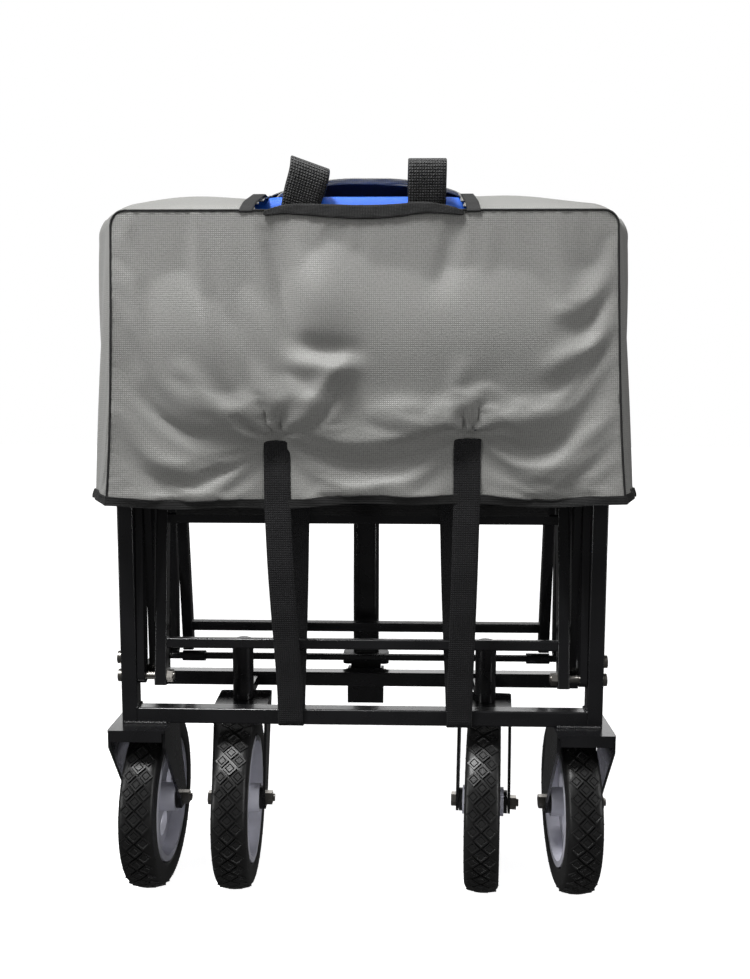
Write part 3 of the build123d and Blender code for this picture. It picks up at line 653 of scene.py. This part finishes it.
def sewn(places):
    """Send the cube's points, from -0.5 to 0.5, to the cover's sewn form."""
    u, v, w = 2 * places[:, 0], places[:, 1] + 0.5, places[:, 2] + 0.5
    seam = seam_half(u, w)
    full = np.where(u < 0, 0.037, 0.028)
    spread = np.where(v < 0.5, np.sin(pi * np.clip(v, 0, 0.5)), 1 - 0.22 * np.clip(2 * v - 1, 0, 1) ** 6)
    puff = full * spread * (1 - 0.12 * w**8) + 0.005 * (1 - w) ** 4
    x = u * (seam + puff)
    y = COVER_LOW[1] + SEAM_BACK + v * (COVER_HIGH[1] - COVER_LOW[1] - SEAM_BACK - 0.001)
    low = hem_height(u, v)
    droop = 0.006 * np.clip((np.abs(x) - 0.15) / 0.09, 0, 1) ** 2 * np.sin(pi * np.clip(v / 0.8, 0, 1))
    top = roof_height(v) - droop
    z = low + w * (top - low)
    corner = 0.013 + 0.017 * np.clip(v / 0.3, 0, 1)
    round_x = np.abs(x) - (seam + puff) + corner
    round_z = z - top + corner
    both = (round_x > 0) & (round_z > 0)
    keep = np.ones_like(x)
    keep[both] = np.maximum(round_x, round_z)[both] / np.hypot(round_x, round_z)[both]
    x = np.where(both, np.sign(x) * ((seam + puff) - corner + round_x * keep), x)
    z = np.where(both, top - corner + round_z * keep, z)
    is_front = v < 1e-4
    y = np.where(is_front, y - front_puff(x, z), y)
    is_back = v > 1 - 1e-4
    back = 0.008 * (1 - u**4) * (1 - (2 * w - 1) ** 4) + 0.003 * np.sin(19 * x + 11 * z) * np.sin(pi * w)
    y = np.where(is_back, y + back * (1 - u**10) * (1 - w**14), y)
    on_side = (np.abs(u) > 1 - 1e-4) & (w < 0.97)
    pucker = 0.0022 * np.sin(34 * z + 21 * v + 3 * np.sign(u)) * np.sin(pi * np.clip(v, 0, 1))
    x = np.where(on_side, x + np.sign(u) * pucker, x)
    on_roof = w > 1 - 1e-4
    arch = 0.020 * np.cos(np.clip(x / 0.106, -1, 1) * pi / 2) ** 0.45 * np.exp(-(((v - 0.66) / 0.13) ** 2))
    ripple = 0.0016 * np.sin(40 * x + 5 * v) * np.sin(pi * np.clip(v, 0, 1))
    return np.column_stack((x, y, np.where(on_roof, z + arch + ripple, z)))


OPENING_BACK = 0.655         # share of the roof's depth where the opening ends
flat_places = points(cover)
cut = cover.data.attributes.new("cut_place", "FLOAT_VECTOR", "POINT")
cut.data.foreach_set("vector", flat_places.ravel())
set_points(cover, sewn(flat_places))
for face in cover.data.polygons:
    corners = flat_places[list(face.vertices)]
    in_roof = np.all(corners[:, 2] > 0.499)
    centre = corners.mean(axis=0)
    face.select = bool(in_roof and abs(face.center.x) < OPENING_HALF and centre[1] + 0.5 < OPENING_BACK)
only(cover)
bpy.ops.object.mode_set(mode="EDIT")
bpy.ops.mesh.select_mode(type="FACE")
bpy.ops.mesh.delete(type="FACE")
bpy.ops.object.mode_set(mode="OBJECT")
outward(cover)
if sum(face.normal.y * face.area for face in cover.data.polygons if face.center.y < COVER_LOW[1] + 0.01) > 0:
    bpy.ops.object.mode_set(mode="EDIT")
    bpy.ops.mesh.select_all(action="SELECT")
    bpy.ops.mesh.flip_normals()
    bpy.ops.object.mode_set(mode="OBJECT")
print("cover shaped:", len(cover.data.polygons), "squares")

# %% [markdown]
# The formula sets the big forms. Real cloth also has small folds that no formula gives, so
# the shape is settled by the cloth simulator with a little extra cloth. Seams, hem, opening
# and strap tops are pinned, and no point may move further than a few millimetres.

# %% Settle cloth with the simulator
def settle(obj, pinned, frames=14, spare=0.0, pressure=0.0, gravity=0.0, reach=0.006):
    """Simulate obj as cloth for some frames and keep the result, with each point's move capped."""
    start = points(obj)
    group = obj.vertex_groups.new(name="pinned")
    group.add([int(index) for index in np.flatnonzero(pinned)], 1.0, "REPLACE")
    cloth = obj.modifiers.new("Cloth", "CLOTH")
    cloth.settings.quality = 6
    cloth.settings.mass = 0.25
    cloth.settings.tension_stiffness = 25
    cloth.settings.compression_stiffness = 25
    cloth.settings.bending_stiffness = 0.8
    cloth.settings.shrink_min = -spare
    cloth.settings.vertex_group_mass = "pinned" if pinned.any() else ""
    cloth.settings.effector_weights.gravity = gravity
    if pressure:
        cloth.settings.use_pressure = True
        cloth.settings.uniform_pressure_force = pressure
    cloth.collision_settings.use_collision = False
    cloth.point_cache.frame_start = 1
    cloth.point_cache.frame_end = frames
    scene = bpy.context.scene
    for number in range(1, frames + 1):
        scene.frame_set(number)
    settled = obj.evaluated_get(bpy.context.evaluated_depsgraph_get()).to_mesh()
    end = np.empty(len(settled.vertices) * 3)
    settled.vertices.foreach_get("co", end)
    move = end.reshape(-1, 3) - start
    far = np.linalg.norm(move, axis=1, keepdims=True)
    only(obj)
    obj.modifiers.remove(cloth)
    obj.vertex_groups.clear()
    scene.frame_set(1)
    set_points(obj, start + move * np.minimum(1, reach / np.maximum(far, 1e-9)))
    print(obj.name, "settled; largest move", round(float(far.max()), 4))


def cut_places(obj):
    """Where each point lay on the uncut cube."""
    flat = np.empty(len(obj.data.vertices) * 3)
    obj.data.attributes["cut_place"].data.foreach_get("vector", flat)
    return flat.reshape(-1, 3)


place, flat = points(cover), cut_places(cover)
EDGE = 0.4999
on_front, on_back = flat[:, 1] < -EDGE, flat[:, 1] > EDGE
on_rim = (np.abs(flat[:, 0]) > EDGE) | (flat[:, 2] > EDGE)
pinned = (flat[:, 2] < -0.48) | ((on_front | on_back) & on_rim)
pinned |= (np.abs(place[:, 0]) < OPENING_HALF + 0.012) & (flat[:, 2] > EDGE)
for top in (STRAP_LEFT, STRAP_RIGHT):
    pinned |= (np.abs(place[:, 0] - top[0]) < 0.017) & (place[:, 2] < top[1] + 0.006) & on_front
reach = np.where(on_front | on_back, 0.0060, 0.0020)[:, None]
settle(cover, pinned, frames=16, spare=0.009, gravity=0.3, reach=reach)
cube_uv(cover)
cover.data.materials.append(COVER_CLOTH)
cover.data.materials.append(NAVY_LINING)
smooth(cover, 50)
print("cover points pinned:", int(pinned.sum()))

# %% [markdown]
# Tape is bound over the hem. The cover's lowest band of squares is copied, before the cloth
# gets its thickness, and made a little thicker than the cloth, so it wraps round it.

# %% Hem binding
def band(source, name, keep, thickness, material):
    """A tape made from the squares of source that keep chooses, thicker than its cloth."""
    nothing_selected()
    tape = source.copy()
    tape.data = source.data.copy()
    tape.name = name
    bpy.context.collection.objects.link(tape)
    only(tape)
    for face in tape.data.polygons:
        face.select = not keep(face)
    bpy.ops.object.mode_set(mode="EDIT")
    bpy.ops.mesh.select_mode(type="FACE")
    bpy.ops.mesh.delete(type="FACE")
    bpy.ops.object.mode_set(mode="OBJECT")
    thicken(tape, thickness)
    tape.data.materials.clear()
    tape.data.materials.append(material)
    smooth(tape, 60)
    return tape


HEM_ROWS = 3
hem_top = HEM_ROWS / (CUTS + 1) - 0.5 + 0.001
share = cut_places(cover)[:, 2]
hem_tape = band(cover, "hem_tape", lambda face: max(share[list(face.vertices)]) < hem_top, 0.0034, BINDING)
print("hem tape faces:", len(hem_tape.data.polygons))

# %% Seam piping
def piping(name, route, radius, material):
    """A thin round cord sewn along a seam."""
    nothing_selected()
    curve = bpy.data.curves.new(name, "CURVE")
    curve.dimensions = "3D"
    curve.bevel_depth = radius
    curve.bevel_resolution = 2
    line = curve.splines.new("POLY")
    line.points.add(len(route) - 1)
    for point, spot in zip(line.points, route):
        point.co = (*spot, 1)
    obj = bpy.data.objects.new(name, curve)
    bpy.context.collection.objects.link(obj)
    only(obj)
    bpy.ops.object.convert(target="MESH")
    obj = new_piece(name)
    obj.data.materials.append(material)
    smooth(obj, 60)
    return obj


def seam_route(v):
    """Points up one side seam, across the top and down the other."""
    steps = np.linspace(0.02, 1, 60)
    left = np.column_stack((np.full(60, -0.5), np.full(60, v - 0.5), steps - 0.5))
    across = np.column_stack((np.linspace(-0.49, 0.49, 110), np.full(110, v - 0.5), np.full(110, 0.5)))
    right = left[::-1] * (-1, 1, 1)
    return sewn(np.vstack((left, across, right)))


PIPE_RADIUS = 0.0011
front_piping = piping("front_seam_piping", seam_route(0.0), PIPE_RADIUS, BINDING)
back_piping = piping("back_seam_piping", seam_route(1.0), PIPE_RADIUS, BINDING)
wall = cover.modifiers.new("Wall", "SOLIDIFY")
wall.thickness = 0.0012
wall.offset = -1
wall.material_offset = 1
apply_all(cover)
print("cover finished:", len(cover.data.polygons), "faces")

trim = [hem_tape, front_piping, back_piping]
for piece in [cover] + trim:
    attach(piece, "cover")
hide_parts("cover_shell")

# %% [markdown]
# ## Webbing straps
# Webbing is a flat woven band. A grid one strap wide is laid along a route, given the
# strap's thickness, and its UV runs along the band so that the weave does too.

# %% A band along a route
def strap(name, route, width, thickness, count, material, lean=0.0, across=(1, 0, 0), taper=0.0):
    """A flat band laid along the route, with its width along across."""
    nothing_selected()
    bpy.ops.mesh.primitive_grid_add(x_subdivisions=5, y_subdivisions=count, size=1)
    obj = new_piece(name)
    place = points(obj)
    line, length = along(route, count + 1)
    row = np.rint((place[:, 1] + 0.5) * count).astype(int)
    bulge = np.sin(pi * row / count)
    spread = place[:, 0] * width * (1 - taper * (1 - bulge**0.5))
    laid = line[row] + np.outer(spread, across)
    laid[:, 1] += 0.0004 * np.sin(row * 0.5) * np.cos(place[:, 0] * pi)
    laid[:, 2] += spread * lean * bulge**2
    set_points(obj, laid)
    map_uv(obj, np.column_stack((spread, row * length / count)))
    thicken(obj, thickness)
    bevel = obj.modifiers.new("Edge", "BEVEL")
    bevel.width = thickness * 0.3
    bevel.limit_method = "ANGLE"
    apply_all(obj)
    obj.data.materials.append(material)
    smooth(obj, 50)
    outward(obj)
    return obj


# %% The two long straps
STRAP_WIDTH = 0.0255
STRAP_THICK = 0.0017
straps = []
for side_name, top, drift, back_shift in (
    ("left", STRAP_LEFT, 0.008, 0.006),
    ("right", STRAP_RIGHT, -0.002, -0.009),
):
    panel = COVER_LOW[1] + SEAM_BACK
    route = []
    for height in np.linspace(top[1], HEM_Z + 0.001, 6):
        route.append((top[0], panel - float(front_puff(np.array(top[0]), np.array(height))) - 0.0022, height))
    low_x = top[0] + drift
    front_y, back_y = RAIL_LOW[1] - 0.0022, RAIL_HIGH[1] + 0.0035
    under = RAIL_LOW[2] - 0.0020
    route += [
        (top[0] + drift * 0.3, (panel + front_y) / 2 - 0.004, HEM_Z - 0.07),
        (low_x, front_y - 0.005, RAIL_HIGH[2] + 0.03),
        (low_x, front_y - 0.0005, RAIL_HIGH[2] - 0.003),
        (low_x, front_y, under),
        (low_x, back_y, under),
        (low_x, back_y, RAIL_HIGH[2]),
        (low_x + back_shift * 0.6, back_y + 0.001, (RAIL_HIGH[2] + HEM_Z) / 2),
        (low_x + back_shift, back_y + 0.001, HEM_Z + 0.012),
    ]
    straps.append(strap(f"cover_strap_{side_name}", route, STRAP_WIDTH, STRAP_THICK, 150, WEBBING))
for piece in straps:
    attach(piece, "cover")
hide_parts("cover_straps")
print("straps laid")

# %% Tapes round the opening
lip_y = COVER_LOW[1] + SEAM_BACK - 0.0016
LIP = [(-0.088, -3), (-0.068, 1), (-0.045, 0), (0.0, -2.5), (0.035, -1), (0.055, 2), (0.075, 1), (0.095, -3)]
lip_route = [(x, lip_y, SHOULDER_Z + rise / 1000) for x, rise in LIP]
front_lip = strap("opening_front_tape", lip_route, 0.0125, 0.0022, 90, BINDING, across=(0, 0, 1), taper=0.75)
side_tapes = []
depth = COVER_HIGH[1] - COVER_LOW[1] - SEAM_BACK - 0.001
for side_name, side in (("left", -1), ("right", 1)):
    x = side * (OPENING_HALF + 0.006)
    shares = np.linspace(0.0, 0.60, 12)
    route = [(x, COVER_LOW[1] + SEAM_BACK + v * depth, float(roof_height(v)) + 0.0012) for v in shares]
    route = [(x, lip_y, SHOULDER_Z - 0.002)] + route
    side_tapes.append(strap(f"opening_side_tape_{side_name}", route, 0.0125, 0.0018, 60, BINDING))
for piece in [front_lip] + side_tapes:
    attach(piece, "cover")
trim += [front_lip] + side_tapes
ARCH_LIP = [
    (-0.097, 0.728), (-0.083, 0.7435), (-0.031, 0.7525), (0.006, 0.7524),
    (0.042, 0.7522), (0.089, 0.743), (0.102, 0.737),
]
arch_route = [(x, REAR_Y + 0.072, z - 0.001) for x, z in ARCH_LIP]
back_lip = strap(
    "opening_back_lip", arch_route, 0.0060, 0.0022, 90, COVER_CLOTH, across=(0, -0.4, 0.92), taper=0.5
)
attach(back_lip, "cover")
print("opening taped")

# %% Strap stitching
def stitch_box(name, centre, width, height, y, body):
    """A sewn square with a cross in it, as small stitches."""
    stitches = []
    x0, x1 = centre[0] - width / 2, centre[0] + width / 2
    z0, z1 = centre[1] - height / 2, centre[1] + height / 2
    for start, end in (((x0, z0), (x1, z0)), ((x1, z0), (x1, z1)), ((x1, z1), (x0, z1)), ((x0, z1), (x0, z0)),
                       ((x0, z0), (x1, z1)), ((x0, z1), (x1, z0))):
        length = np.hypot(end[0] - start[0], end[1] - start[1])
        count = int(length / 0.003)
        for index in range(count):
            t = (index + 0.5) / count
            nothing_selected()
            bpy.ops.mesh.primitive_ico_sphere_add(
                subdivisions=1, radius=1,
                scale=(0.0011, 0.0004, 0.0005),
                rotation=(0, -atan2(end[1] - start[1], end[0] - start[0]), 0),
                location=(start[0] + t * (end[0] - start[0]), y, start[1] + t * (end[1] - start[1])),
            )
            stitches.append(bpy.context.object)
    seam = joined(stitches, name)
    apply_place(seam)
    seam.data.materials.append(BINDING)
    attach(seam, body)
    return seam


for side_name, top in (("left", STRAP_LEFT), ("right", STRAP_RIGHT)):
    panel = COVER_LOW[1] + SEAM_BACK
    spot = (top[0], top[1] - 0.012)
    y = panel - float(front_puff(np.array(spot[0]), np.array(spot[1]))) - 0.0034
    stitch_box(f"strap_stitching_{side_name}", spot, 0.019, 0.016, y, "cover")
print("stitching sewn")

# %% [markdown]
# ## Grab loops and the padded sleeve
# Two short bands of coarse webbing go round the middle hinge. They lean forwards through the
# opening and fold over. The blue sleeve between them is a soft tube, blown up a little by
# the cloth simulator so that it is plump between the loops.

# %% The grab loops
LOOP_WIDTH = 0.0375
LOOP_TOP = box("grab_loops")[1][2] + 0.002
loops = []
for side_name, x, lean, shift in (("left", -0.065, -0.36, 0.014), ("right", 0.0635, 0.0, 0.0)):
    top = LOOP_TOP - 0.25 * LOOP_WIDTH * abs(lean)
    route = [
        (x, MIDDLE_Y + 0.016, HINGE_Z - 0.012),
        (x, MIDDLE_Y - 0.010, HINGE_Z - 0.022),
        (x, MIDDLE_Y - 0.032, HINGE_Z - 0.010),
        (x + shift * 0.4, MIDDLE_Y - 0.046, HINGE_Z + 0.012),
        (x + shift, MIDDLE_Y - 0.056, top - 0.012),
        (x + shift, MIDDLE_Y - 0.054, top),
        (x + shift, MIDDLE_Y - 0.036, top),
        (x + shift * 0.5, MIDDLE_Y + 0.004, top - 0.012),
        (x, MIDDLE_Y + 0.027, HINGE_Z + 0.016),
        (x, MIDDLE_Y + 0.024, HINGE_Z - 0.002),
    ]
    loops.append(strap(f"grab_loop_{side_name}", route, LOOP_WIDTH, 0.0026, 70, LOOP_WEBBING, lean))
for piece in loops:
    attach(piece, "floor_rear")
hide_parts("grab_loops")
print("loops laid")

# %% The padded sleeve
SLEEVE_HALF = 0.186
SLEEVE_Z = HINGE_Z
nothing_selected()
bpy.ops.mesh.primitive_cylinder_add(
    vertices=40, radius=0.0125, depth=2 * SLEEVE_HALF,
    location=(0, MIDDLE_Y, SLEEVE_Z), rotation=(0, pi / 2, 0),
)
sleeve = new_piece("padded_sleeve")
apply_place(sleeve)
remesh = sleeve.modifiers.new("Fine", "REMESH")
remesh.mode = "VOXEL"
remesh.voxel_size = 0.0045
apply_all(sleeve)
place = points(sleeve)
swell = np.clip(1 - (place[:, 0] / 0.125) ** 8, 0, 1)
lifted = SLEEVE_Z + 0.005 * swell + (place[:, 2] - SLEEVE_Z) * (1 + 0.42 * swell)
set_points(sleeve, np.column_stack((place[:, 0], place[:, 1], lifted)))
ends = np.abs(place[:, 0]) > SLEEVE_HALF - 0.004
settle(sleeve, ends, frames=20, pressure=4.0, reach=0.003)
fine = sleeve.modifiers.new("Soft", "SUBSURF")
fine.levels = 1
fine.render_levels = 1
apply_all(sleeve)
cube_uv(sleeve)
sleeve.data.materials.append(TUB_CLOTH)
smooth(sleeve, 70)
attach(sleeve, "floor_rear")
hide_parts("middle_sleeve")
print("sleeve faces:", len(sleeve.data.polygons))

# %% [markdown]
# ## The tub
# The wagon's fabric tub hangs from the frame. Its end panels stay flat, and its side panels
# are pleated between the end frames. Black mats lie on the floor bars.

# %% End panels and floor mats
def panel(name, node, material, body, slot_name, held, wrinkle):
    """A cloth panel with taped edges, in the place of a flat CAD solid."""
    node_object = frame["nodes"][node]
    corners = points(node_object)
    centre = corners.mean(axis=0)
    spread = np.linalg.svd(corners - centre, full_matrices=False)[2]
    flat_x = spread[0] * np.sign(spread[0][0])
    normal = spread[2] * (1 if spread[2][1] > 0 else -1)
    flat_y = np.cross(normal, flat_x)
    flat_y = flat_y * (1 if flat_y[2] > 0 else -1)
    width = 2 * np.abs((corners - centre) @ flat_x).max()
    length = 2 * np.abs((corners - centre) @ flat_y).max()
    nothing_selected()
    bpy.ops.mesh.primitive_grid_add(x_subdivisions=70, y_subdivisions=44, size=1)
    cloth = new_piece(name)
    place = points(cloth)
    u, v = place[:, 0], place[:, 1]
    edge = (1 - (2 * u) ** 8) * (1 - (2 * v) ** 8)
    broad = np.sin(9 * u + 5 * v) * np.sin(4 * u - 11 * v + 1)
    rise = wrinkle * edge * (broad + 0.5 * np.sin(23 * u) * np.sin(7 * v))
    laid = centre + np.outer(u * width, flat_x) + np.outer(v * length, flat_y) + np.outer(rise, normal)
    set_points(cloth, laid)
    map_uv(cloth, np.column_stack((u * width, v * length)))
    border = 0.010

    def is_border(face):
        a = np.dot(np.array(face.center) - centre, flat_x)
        b = np.dot(np.array(face.center) - centre, flat_y)
        return abs(a) > width / 2 - border or abs(b) > length / 2 - border

    tape = band(cloth, f"{name}_tape", is_border, 0.0028, BINDING)
    thicken(cloth, 0.0014)
    cloth.data.materials.append(material)
    smooth(cloth, 60)
    for piece in (cloth, tape):
        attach(piece, body)
    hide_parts(node)
    return cloth


panel("tub_end_rear", "tub_rear_panel", TUB_CLOTH, "rear_frame", "tub_fabric", "hung", 0.0012)
panel("tub_end_front", "tub_front_panel", TUB_CLOTH, "front_frame", "tub_fabric", "hung", 0.0012)
panel("mat_rear", "floor_mat_rear", MAT_CLOTH, "floor_rear", "mat_fabric", "laid", 0.0005)
panel("mat_front", "floor_mat_front", MAT_CLOTH, "floor_front", "mat_fabric", "laid", 0.0005)
print("panels hung")

# %% Pleated sides
PLEATS = 7


def pleated(name, side, y_start, y_end, low_z, high_z, depth):
    """A side panel folded into upright pleats between an end frame and the middle."""
    nothing_selected()
    steps = PLEATS * 8
    bpy.ops.mesh.primitive_grid_add(x_subdivisions=steps, y_subdivisions=30, size=1)
    cloth = new_piece(name)
    place = points(cloth)
    t, v = place[:, 0] + 0.5, place[:, 1] + 0.5
    sway = 0.0010 * np.sin(6 * v + 9 * t)
    crease = 0.5 - 0.5 * np.cos(2 * pi * PLEATS * t)
    x = side * (POST_OUTSIDE + 0.0015 + depth * crease * (0.85 + 0.15 * np.sin(5 * v)) * (1 - 0.5 * v**4))
    y = y_start + t * (y_end - y_start) + sway
    z = low_z + v * (high_z - low_z)
    set_points(cloth, np.column_stack((x, y, z)))
    run = np.hypot(np.diff(np.unique(t)).mean() * (y_end - y_start), depth * pi * PLEATS / steps)
    map_uv(cloth, np.column_stack((t * steps * run, z)))
    thicken(cloth, 0.0010)
    cloth.data.materials.append(TUB_CLOTH)
    smooth(cloth, 70)
    return cloth


POST_OUTSIDE = box("rear_post_right")[1][0]
PLEAT_DEPTH = 0.0055
HALF_GAP = 0.0004            # the two halves of a side nearly meet in the middle
CUT_SHARE = 1.06             # the cut, as a share of the pleats' straight run
TUB_FALL = 0.012             # the gathered sides hang a little below the panels' tops
for end, body, mover in (
    ("rear", "rear_frame", "tub_middle_rear"),
    ("front", "front_frame", "tub_middle_front"),
):
    low, high = box(f"tub_side_{end}")
    if end == "rear":
        start, stop = low[1], MIDDLE_Y - HALF_GAP
    else:
        start, stop = high[1], MIDDLE_Y + HALF_GAP
    for side_name, side in (("left", -1), ("right", 1)):
        name = f"tub_pleats_{end}_{side_name}"
        cloth = pleated(name, side, start, stop, low[2], high[2] - TUB_FALL, PLEAT_DEPTH)
        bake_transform(cloth)
        if side_name == "left":
            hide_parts(f"tub_side_{end}")
        cut = 2 * PLEATS * np.hypot(PLEAT_DEPTH, abs(stop - start) / (2 * PLEATS)) * CUT_SHARE
print("sides pleated")

# %% [markdown]
# ## Stage
# A pale floor and a white surround, a broad soft light from above and in front, and two
# upright strips at the sides that draw bright lines down the glossy black tubes. The
# backdrop light shows only where it is mirrored, and two low fills only on matt surfaces.

# %% Floor
nothing_selected()
bpy.ops.mesh.primitive_plane_add(size=14, location=(0, 1.0, 0))
floor = new_piece("floor")
pale, nodes, links, shader, where = starter("pale_floor", (0.80, 0.80, 0.80), 0.7)
soft_patches = add_noise(nodes, links, where.outputs["Object"], 2.0)
floor_gloss = add_range(nodes, links, soft_patches.outputs["Fac"], 0.65, 0.75)
links.new(floor_gloss.outputs["Result"], shader.inputs["Roughness"])
# The floor's emission is a painted glow that grows with distance from the middle, so the floor fades into the
# white surround.
distance = nodes.new("ShaderNodeVectorMath")
distance.operation = "LENGTH"
links.new(where.outputs["Object"], distance.inputs[0])
glow = nodes.new("ShaderNodeMapRange")
for socket, value in (("From Min", 0.5), ("From Max", 1.3), ("To Min", 0.60), ("To Max", 1.1)):
    glow.inputs[socket].default_value = value
links.new(distance.outputs["Value"], glow.inputs["Value"])
shader.inputs["Emission Color"].default_value = (1, 1, 1, 1)
links.new(glow.outputs["Result"], shader.inputs["Emission Strength"])
floor.data.materials.append(pale)
floor.visible_glossy = False
floor.visible_diffuse = False
print("floor laid")

# %% Lights
def soft_light(name, place, aim, size, power, tall=None, mirrored=True, lights=True):
    """An area light that faces a point, seen in gloss if mirrored and on matt surfaces if lights."""
    light = bpy.data.lights.new(name, "AREA")
    light.energy = power
    light.size = size
    if tall:
        light.shape = "RECTANGLE"
        light.size_y = tall
    obj = bpy.data.objects.new(name, light)
    bpy.context.collection.objects.link(obj)
    obj.visible_glossy = mirrored
    obj.visible_diffuse = lights
    obj.visible_camera = False
    obj.location = place
    obj.rotation_euler = (Vector(aim) - Vector(place)).to_track_quat("-Z", "Y").to_euler()


AIM = (0, 0, 0.4)
soft_light("key", (-0.55, -0.75, 2.2), AIM, 0.5, 44)
soft_light("fill", (1.2, -2.0, 1.0), AIM, 1.2, 1.2, mirrored=False)
soft_light("strip_left", (-1.5, -0.9, 0.7), AIM, 0.20, 8, 1.4)
soft_light("strip_right", (1.5, -0.8, 0.7), AIM, 0.20, 7, 1.4)
soft_light("top", (0.1, 0.2, 2.3), AIM, 0.9, 12)
soft_light("low_front", (0.0, -0.45, 0.10), (0, 0.05, 0.09), 0.25, 0.25, mirrored=False)
soft_light("backdrop", (0.0, 2.6, 1.0), AIM, 2.4, 16, 1.2, lights=False)
world = bpy.data.worlds.new("surround")
world.use_nodes = True
sky_nodes, sky_links = world.node_tree.nodes, world.node_tree.links
sky = sky_nodes["Background"]
sky.inputs["Color"].default_value = (1, 1, 1, 1)
seen = sky_nodes.new("ShaderNodeLightPath")
dimmed = sky_nodes.new("ShaderNodeMapRange")
dimmed.inputs["To Min"].default_value = 0.12
dimmed.inputs["To Max"].default_value = 0.05
sky_links.new(seen.outputs["Is Glossy Ray"], dimmed.inputs["Value"])
brightness = sky_nodes.new("ShaderNodeMath")
brightness.operation = "MAXIMUM"
sky_links.new(seen.outputs["Is Camera Ray"], brightness.inputs[0])
sky_links.new(dimmed.outputs["Result"], brightness.inputs[1])
sky_links.new(brightness.outputs["Value"], sky.inputs["Strength"])
bpy.context.scene.world = world
bpy.context.scene.view_settings.view_transform = "Standard"
print("lights set")

# %% Camera
PITCH, YAW, ROLL = radians(6.107), radians(1.345), radians(0.158)
CAMERA_PLACE = (0.0348, REAR_Y - 0.9038, 0.5329)
SENSOR_HEIGHT = 36           # millimetres, as is the focal length
FOCAL = 33.4517
camera_data = bpy.data.cameras.new("camera")
camera_data.sensor_fit = "VERTICAL"
camera_data.sensor_height = SENSOR_HEIGHT
camera_data.lens = FOCAL
camera = bpy.data.objects.new("camera", camera_data)
bpy.context.collection.objects.link(camera)
turn = Matrix.Rotation(YAW, 4, "Z") @ Matrix.Rotation(pi / 2 - PITCH, 4, "X") @ Matrix.Rotation(ROLL, 4, "Z")
camera.matrix_world = Matrix.Translation(CAMERA_PLACE) @ turn
bpy.context.scene.camera = camera
print("camera at", [round(value, 3) for value in CAMERA_PLACE])
